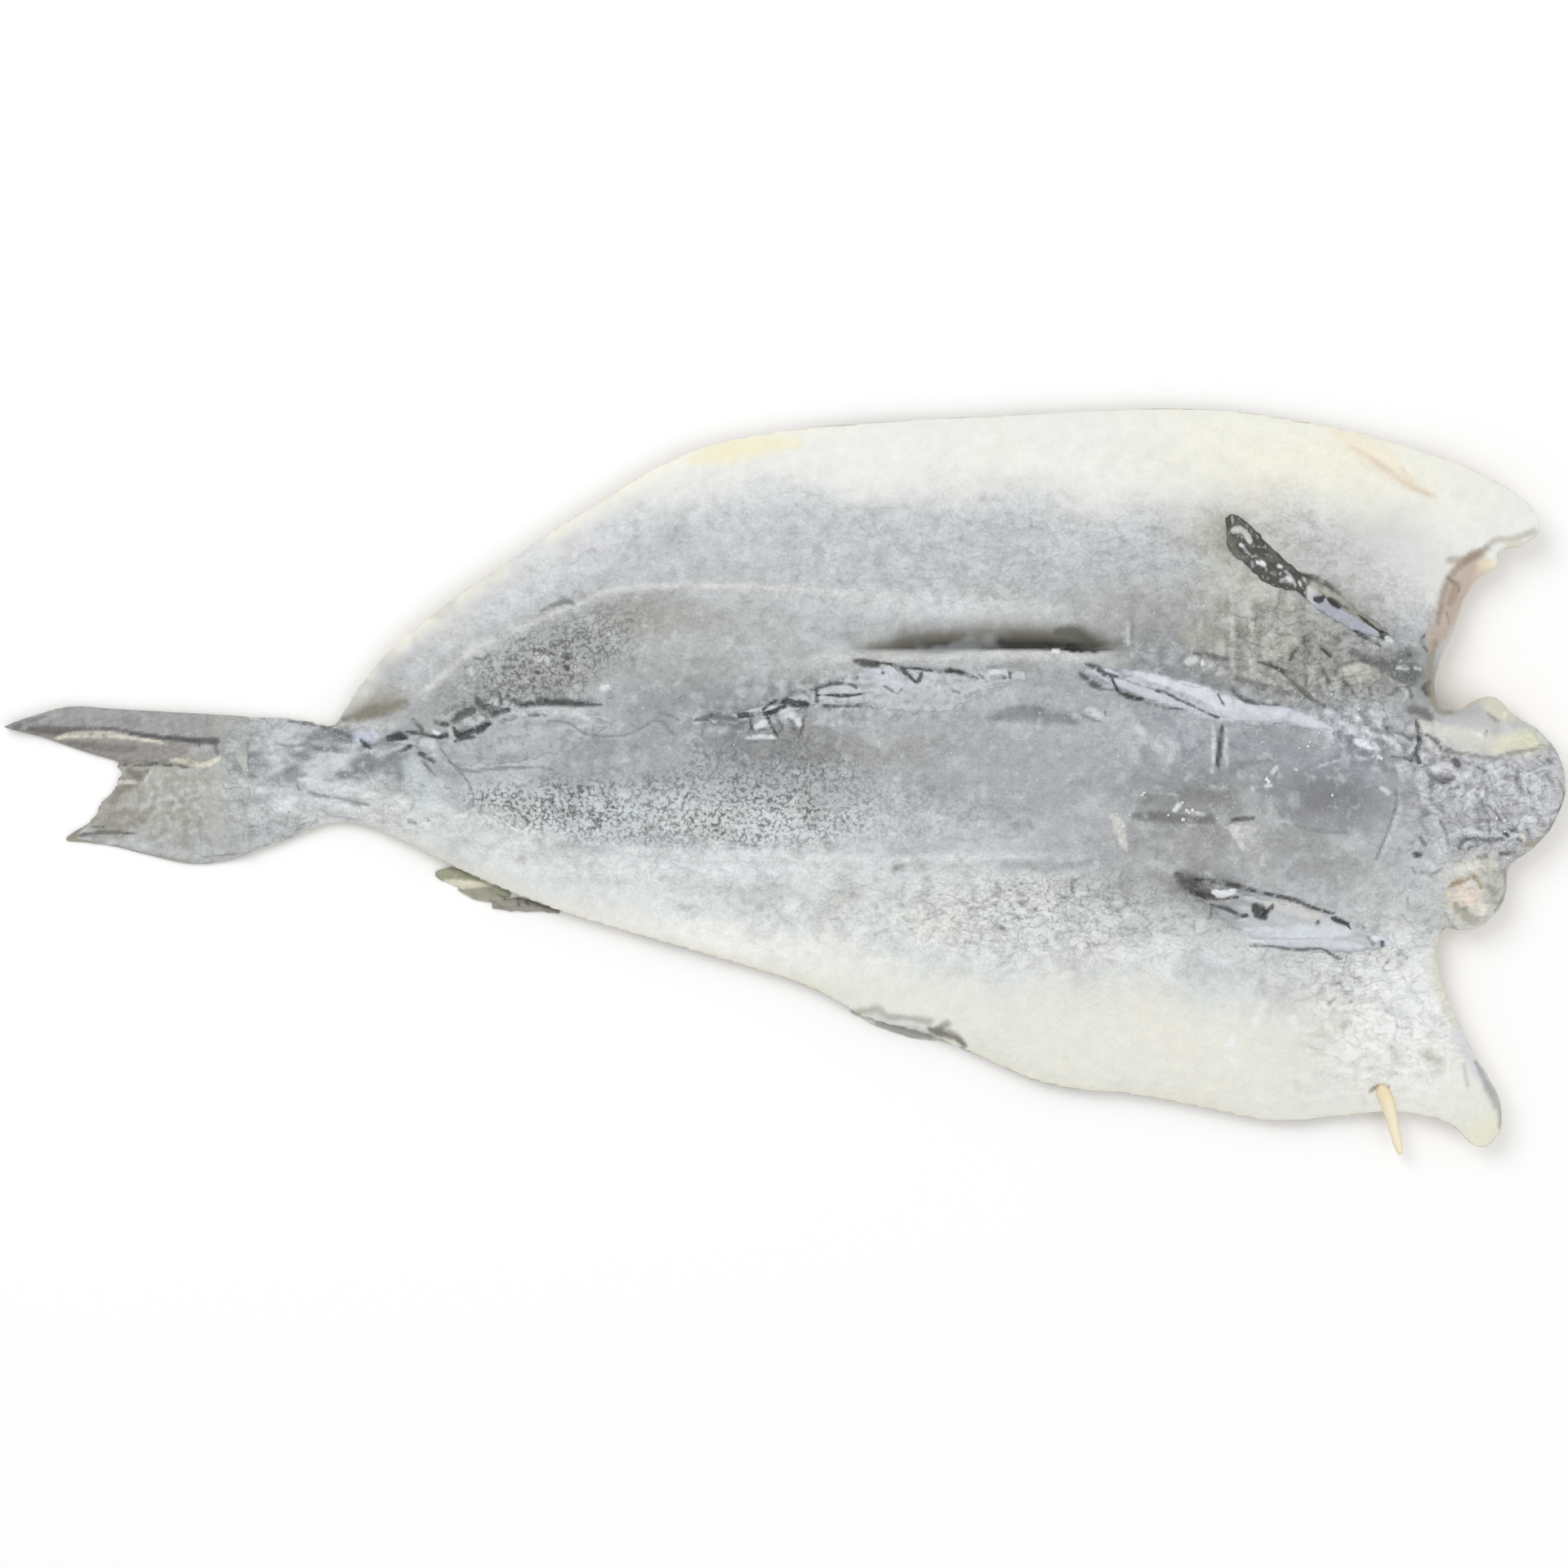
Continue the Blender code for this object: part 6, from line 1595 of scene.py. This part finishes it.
firstBackFin = {
    **backFinLook, "seed": 321, "thickness": 1.1, "rayHeight": 0.10, "torn": 0.9, "profile": 0.9,
    "blotchy": 0.6, "membrane": (198, 202, 211), "gap": (110, 113, 122),
    "route": [(213, 21, 0.8), (205, 22.4, 1.8), (192, 25.6, 3.2), (178, 27.4, 3.6), (164, 30.2, 4.6),
              (150, 34, 5.0), (136, 38.4, 4.6), (124, 41, 2.8), (113, 43.6, 0.8)],
}


def paintBackFin(colour, spec, f):
    # thin membrane over faint rays
    points = f["points"]
    cover(colour, spec["gap"], 0.16 * (1 - f["rays"]))
    worn = bumps(points, 3.6, spec["seed"] + 5) + 0.6 * bumps(points, 1.5, 71)
    cover(colour, spec["gap"], 0.35 * ramp(0.12, 0.4, worn))
    colour *= (1 + 0.06 * bumps(points, 5, spec["seed"] + 6) + 0.05 * bumps(points, 2, 6))[:, None]


leftPectoral = {
    "grain": 0.45, "seed": 331, "thickness": 1.5, "rays": 6, "rayHeight": 0.25, "torn": 0.7,
    "areas": ["left pectoral"], "blotchy": 0.2, "masks": (0.0, 0.3, 0.3),
    "membrane": (66, 67, 62), "ray": (92, 93, 87), "film": (104, 106, 100), "crystalsAndGloss": (206, 208, 208),
    "webStart": 0.4725,  # share of the length where the dark web begins
    "root": (172, 176, 187), "rootEnd": (200, 203, 211), "rootJoin": (206, 208, 208),
    "rootSide": (148, 147, 138),
    "route": [(231.5, 56.5, 1.0), (226, 59, 2.8), (219.5, 62.5, 3.9), (212, 67, 4.5), (205, 72, 4.6),
              (198.5, 76.5, 3.6), (192.8, 79, 4.6), (187, 82.3, 6.0), (180.7, 88.3, 5.9), (176.3, 93, 6.4),
              (173, 99.3, 4.0), (170.4, 102.8, 1.2)],
}


def paintLeftPectoral(colour, spec, f):
    # dark dried web with white specks, partly salt crystals and partly painted highlight of its gloss, and
    # a lilac strip and a brown one at its root
    points, u, v = f["points"], f["u"], f["v"]
    cover(colour, spec["ray"], 0.4 * f["rays"])
    cover(colour, spec["film"], 0.6 * ramp(0.1, 0.4, bumps(points, 4.2, 333)))
    # white specks: partly salt crystals, partly painted highlight
    crystalsAndGloss = ramp(0.36, 0.46, bumps(points, 1.8, 334)) * ramp(0.95, 0.7, np.abs(v))
    cover(colour, spec["crystalsAndGloss"], 0.5 * crystalsAndGloss)
    root = np.tile(tone(*spec["root"]), (len(u), 1))
    cover(root, spec["rootEnd"], ramp(0.12, 0.0, u))
    cover(root, spec["rootJoin"], ramp(0.38, 0.46, u))
    cover(root, spec["rootSide"], ramp(-0.02, -0.14, v + 0.2 * bumps(points, 5, 332)))
    start = spec["webStart"]
    web = ramp(start - 0.0175, start + 0.0175, u + 0.04 * bumps(points, 4, 331) + 0.02 * v)
    colour += (root - colour) * (1 - web)[:, None]


rightPectoral = {
    "grain": 0.5, "seed": 341, "thickness": 1.2, "rays": 3, "slant": 1, "rayHeight": 0.15, "torn": 1.1,
    "profile": 0.8, "masks": (0.0, 0.2, 0.3),
    "membrane": (196, 199, 202), "gap": (150, 154, 160), "tip": (128, 128, 128),
    "route": [(234, -61.4, 0.9), (225, -60.2, 3.4), (213, -58.8, 6.2), (199, -56, 8.2), (186, -52.8, 8.0),
              (173, -47.6, 6.0), (162, -42.6, 3.2), (153, -38, 0.9)],
}


def paintRightPectoral(colour, spec, f):
    cover(colour, spec["gap"], 0.25 * (1 - f["rays"]))
    cover(colour, spec["tip"], 0.7 * ramp(0.66, 0.86, f["u"] + 0.06 * bumps(f["points"], 5, 343)))
    colour *= (1 + 0.05 * bumps(f["points"], 4, 344))[:, None]


pelvicSpine = {
    "grain": 0.45, "seed": 361, "thickness": 3.0, "rays": 2, "rayHeight": 0.2, "torn": 0.15, "bridging": 60,
    "areas": [], "blotchy": 0, "masks": (0.0, 0.05, 0.0),
    "rootHeight": 6.5,  # mm, past the edge of the flap
    "membrane": (246, 235, 205), "root": (242, 217, 176), "cut": (150, 130, 96), "side": (222, 200, 158),
    "route": [(228, -116.2, 0.8), (230.5, -118.5, 2.6), (233.2, -125, 2.4), (235.4, -133, 2.0),
              (237, -139.5, 1.7), (237.8, -143, 0.9)],
}


def paintSpine(colour, spec, f):
    cover(colour, spec["root"], 0.6 * ramp(0.45, 0.1, f["u"]))
    cover(colour, spec["cut"], 0.8 * ramp(0.06, 0.0, f["u"]))
    cover(colour, spec["side"], 0.35 * ramp(0.7, 1, np.abs(f["v"])))


# The belly fins lie on the floor and run in under the belly
bellyFinLook = {"grain": 0.5, "thickness": 1.4, "rays": 4, "rayHeight": 0.2, "torn": 0.3, "creamSide": 1,
                "masks": (0.0, 0.3, 0.2)}
bellyFinHeight = 0.4
bellyFins = {
    "secondBellyFin": {
        **bellyFinLook, "seed": 351, "thickness": 1.2,
        "membrane": (164, 166, 142), "gap": (146, 149, 122), "cream": (176, 177, 156),
        "route": [(-106, -42.8, 1.4), (-113, -40, 2.8), (-120, -37.4, 3.6), (-127, -35.8, 3.6),
                  (-132.6, -35, 2.2), (-135, -34.9, 0.8)],
    },
    "secondBellyFinMiddle": {
        **bellyFinLook, "seed": 352, "thickness": 1.3, "creamSide": -1,
        "membrane": (166, 166, 150), "gap": (148, 147, 130), "cream": (190, 188, 170),
        "route": [(-108, -45, 1.0), (-114, -43.2, 2.6), (-120, -41.6, 2.8), (-126, -40.2, 0.9)],
    },
    "secondBellyFinEnd": {
        **bellyFinLook, "seed": 353, "rays": 5, "torn": 0.4,
        "membrane": (162, 158, 148), "gap": (134, 129, 118), "cream": (178, 175, 163),
        "route": [(-87, -49.6, 0.6), (-94, -48, 1.4), (-101, -46.8, 2.4), (-108, -46.6, 2.2),
                  (-113, -47.2, 0.9)],
    },
    "firstBellyFin": {
        **bellyFinLook, "seed": 354, "rays": 3, "slant": 3, "rayHeight": 0.15, "torn": 0.4, "creamSide": -1,
        "membrane": (210, 211, 207), "gap": (186, 186, 180), "cream": (216, 216, 211),
        "route": [(26, -87.8, 0.7), (34, -90.8, 2.0), (42, -93, 2.8), (50, -95, 3.2), (58, -97, 2.4),
                  (66, -99.8, 1.2), (72, -103.4, 0.6)],
    },
}


def paintBellyFin(colour, spec, f):
    cover(colour, spec["gap"], 0.5 * (1 - f["rays"]))
    # cream along one edge of each lobe: partly the fin's pale edge, partly painted highlight
    cover(colour, spec["cream"], 0.8 * ramp(0.6, 0.95, -f["v"] * spec["creamSide"]))
    cover(colour, spec["gap"], 0.7 * ramp(0.1, 0.4, bumps(f["points"], 5, spec["seed"] + 2)))


def makeFins():
    backSkin = skinMaterial("driedBackFin", grain=0.14)
    for name, spec, node in (("thirdBackFin", thirdBackFin, "third_dorsal_fin"),
                             ("secondBackFin", secondBackFin, "second_dorsal_fin"),
                             ("firstBackFin", firstBackFin, "first_dorsal_fin")):
        makeLeaf(name, spec, skinAt, paintBackFin, backSkin, node)
    web = skinMaterial("driedPectoralFin", grain=0.2, glints=0.95)
    makeLeaf("leftPectoralFin", leftPectoral, skinAt, paintLeftPectoral, web, "left_pectoral_fin")
    makeLeaf("rightPectoralFin", rightPectoral, skinAt, paintRightPectoral, web, "right_pectoral_fin")

    def flap(x, y):
        return skinAt(x, y, pelvicSpine["rootHeight"])

    def floor(x, y):
        return bellyFinHeight

    horn = skinMaterial("hornySpine", grain=0.08, glints=0.1)
    makeLeaf("rightPelvicSpine", pelvicSpine, flap, paintSpine, horn, "right_pelvic_fin")
    dried = skinMaterial("driedBellyFin", grain=0.12)
    nodes = {"secondBellyFin": "second_anal_fin", "firstBellyFin": "first_anal_fin"}
    for name, spec in bellyFins.items():
        makeLeaf(name, spec, floor, paintBellyFin, dried, nodes.get(name))
    print("fins ready")


tailFin = {
    "voxel": 0.85,  # mm between points
    "firstFold": [(-300, 20), (-280, 19.8), (-255, 19), (-236, 17.6), (-220, 15.6)],
    "secondFold": [(-300, 9), (-256, 8.6), (-236, 8.4), (-218, 8.8)],
    "tipReach": (2.4, 3.4),  # mm that the upper and the lower tip gain
    "raysPerRadian": 105,
    "rayHeight": 0.2,
    "leafStep": 0.8,  # each folded lobe lies this much higher than the next
    "sunk": 0.9,  # under the scaly skin at its root
    "base": (176, 176, 169),
    "lowerEdge": (188, 193, 194),
    "brown": (150, 146, 132),
    "middleLobe": (150, 146, 142),
    "upperLobe": (160, 160, 161),
    "tip": (118, 112, 106),
    "blotch": (146, 142, 134),
    "lump": (208, 209, 207),
    "lowerJoin": (186, 188, 186),
    "upperJoin": (160, 161, 160),
    "underside": (150, 143, 130),
}


def shapeTail(mesh, points):
    normals = getNormals(mesh)
    upperTip, lowerTip = tailFin["tipReach"]
    points[:, 0] -= upperTip * ramp(-286, -297, points[:, 0])
    points[:, 0] -= lowerTip * oval(points[:, :2], (-273, -20.5), (9, 4))
    x, y, z = points.T
    plane = np.column_stack((x, y, np.zeros(len(x))))
    upper = ramp(0.05, 0.6, normals[:, 2])
    firstFold = y - np.interp(x, *zip(*tailFin["firstFold"])) + 0.5 * bumps(plane, 9, 401)
    secondFold = y - np.interp(x, *zip(*tailFin["secondFold"])) + 0.5 * bumps(plane, 8, 402)
    opening = ramp(-217, -226, x)
    angle = np.where(secondFold > 0, (y - 0.35 * (x + 206)) / 46, np.arctan2(y - 3, -(x + 186)))
    rays = 0.5 + 0.5 * np.cos(angle * tailFin["raysPerRadian"] + 1.2 * bumps(plane, 14, 403))
    rays = rays * ramp(-212, -228, x)
    lift = tailFin["rayHeight"] * rays
    for fold in (firstFold, secondFold):
        lift += opening * tailFin["leafStep"] * ramp(-0.5, 0.5, fold)
        lift -= opening * 0.8 * np.exp(-((fold + 1.1) ** 2))
    lift += 0.5 * bumps(plane, 16, 404) + 0.15 * bumps(plane, 4, 405)
    below = 0.3 * rays * ramp(0.1, 0.6, -normals[:, 2])
    points[:, 2] = np.maximum(z + (lift - tailFin["sunk"]) * upper * ramp(-206, -214, x) + below, 0)
    frayed = (1 - np.abs(normals[:, 2])) * ramp(-0.2, -0.7, normals[:, 0]) * ramp(-243, -252, x)
    threads = 1.7 * bumps(stretched(plane, 0, 5, 1), 2.6, 406) + 0.8 * bumps(plane, 1.4, 407)
    points[:, 0] += frayed * threads
    setPoints(mesh, points * mm)
    return {"x": x, "y": y, "points": plane, "upper": upper, "firstFold": firstFold,
            "secondFold": secondFold, "opening": opening, "rays": rays}


def paintTail(mesh, f):
    x, y, plane, opening = f["x"], f["y"], f["points"], f["opening"]
    xy = np.column_stack((x, y))
    colour = np.tile(tone(*tailFin["base"]), (len(x), 1))
    cover(colour, tailFin["lowerEdge"], 0.8 * ramp(-12, -24, y + 3 * bumps(plane, 12, 410)))
    brown = ramp(0.05, 0.5, bumps(stretched(plane, 0, 2.5, 1), 9, 411)) * ramp(-222, -232, x)
    cover(colour, tailFin["brown"], 0.6 * brown)
    cover(colour, tailFin["middleLobe"], 0.9 * opening * ramp(-0.3, 0.3, f["secondFold"]))
    cover(colour, tailFin["upperLobe"], 0.9 * opening * ramp(-0.3, 0.3, f["firstFold"]))
    cover(colour, tailFin["tip"], 0.6 * ramp(-286, -299, x))
    cover(colour, tailFin["blotch"], 0.5 * ramp(0.06, 0.36, bumps(plane, 4.4, 414)) * ramp(-214, -224, x))
    lumps = ramp(0.02, 0.32, bumps(plane, 3.2, 412)) * oval(xy, (-233, -6), (20, 13))
    cover(colour, tailFin["lump"], 0.75 * lumps)
    colour *= (1 - 0.09 * (1 - f["rays"]) * ramp(-212, -228, x) + 0.07 * bumps(plane, 3, 413))[:, None]
    cover(colour, tailFin["lowerJoin"], 0.6 * ramp(-228, -214, x) * ramp(13, 8, y))
    cover(colour, tailFin["upperJoin"], 0.75 * ramp(-234, -214, x) * ramp(8, 13, y))
    paintMarks(colour, markFields(xy))
    cover(colour, tailFin["underside"], 1 - f["upper"])
    giveColour(mesh, "tint", np.clip(colour, 0.01, 0.95), 0.5)
    giveColour(mesh, "marks", np.tile((0.0, 0.35, 0.35), (len(x), 1)))


def makeTailFin():
    mesh = remeshed("tailFin", ("tail_fin",), tailFin["voxel"] * mm)
    points = smoothSteps(mesh, 60) / mm
    paintTail(mesh, shapeTail(mesh, points))
    mesh.shade_smooth()
    mesh.materials.append(skinMaterial("driedTailFin", grain=0.2))
    tail = newObject("tailFin", mesh)
    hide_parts("tail_fin")
    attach(tail, "root")


makeTailFin()
makeFins()


# Loose salt: "scattered" grains, then heaps given as place, spread, how many and largest half-width, in mm
salt = {
    "scattered": 280,
    "sizes": (0.12, 0.3),  # half-widths
    "seed": 7,
    "heaps": [((146, -9.5), (16, 4), 8, 0.7), ((208, 21), (16, 7), 18, 0.6), ((156, -11), (3, 1), 3, 0.9),
              ((103.5, 50.8), (0.6, 0.3), 2, 0.8), ((187, 3), (3, 3), 4, 0.7), ((215, -4), (5, 3), 3, 0.6),
              ((-141, -16), (6, 7), 12, 0.7), ((186, 86), (9, 8), 20, 0.5), ((278, -20), (7, 5), 8, 0.6),
              ((240, -55), (9, 7), 12, 0.5), ((240, -90), (16, 22), 24, 0.5)],
    "transmission": 0.15,
}


def isAt(x, y, centre, size, power):
    return oval(np.array([(x, y)]), centre, size, power=power)[0]


def saltSpots(rng):
    # (x, y, half-width) of every grain; the back and the neck hold the most
    low, high = (np.array(corner[:2]) / mm for corner in cadBox)
    spots = []
    while len(spots) < salt["scattered"]:
        x, y = rng.uniform(low, high)
        if rng.random() < 0.25 + 0.75 * isAt(x, y, (60, 10), (230, 42), 4):
            spots.append((x, y, rng.uniform(*salt["sizes"])))
    for place, spread, count, largest in salt["heaps"]:
        for _ in range(count):
            x, y = rng.normal(place, spread)
            spots.append((x, y, rng.uniform(0.3, 1.0) * largest))
    return spots


def saltMaterial():
    g = Graph("saltCrystal")
    colour = g.mix(g.noise(3, 1), tone(236, 238, 243), tone(252, 252, 252))
    g.shader.inputs["Transmission Weight"].default_value = salt["transmission"]
    return g.finish(colour, g.noise(0.3, 1), 0.05, 0.35, 0.3)


def makeSalt():
    rng = np.random.default_rng(salt["seed"])
    corners = np.array(list(itertools.product((-1, 1), repeat=3)), float)
    sides = [(0, 1, 3, 2), (4, 6, 7, 5), (0, 4, 5, 1), (2, 3, 7, 6), (0, 2, 6, 4), (1, 5, 7, 3)]
    points, faces = [], []
    for x, y, size in saltSpots(rng):
        z = skinAt(x, y, -1)
        if z < 1 or isAt(x, y, (76, 56), (64, 9), 6) > 0.1:  # none past the edge or in the fold
            continue
        turn, _ = np.linalg.qr(rng.normal(size=(3, 3)))
        if np.linalg.det(turn) < 0:
            turn[:, 0] *= -1
        grain = (corners * size * rng.uniform(0.55, 1.0, 3)) @ turn.T + (x, y, z + 0.3 * size)
        first = len(points) * 8
        points.append(grain)
        faces += [tuple(first + i for i in side) for side in sides]
    mesh = bpy.data.meshes.new("saltGrains")
    mesh.from_pydata((np.vstack(points) * mm).tolist(), [], faces)
    mesh.materials.append(saltMaterial())
    grains = newObject("saltGrains", mesh)
    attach(grains, "root")
    print("salt:", len(points), "grains")


makeSalt()
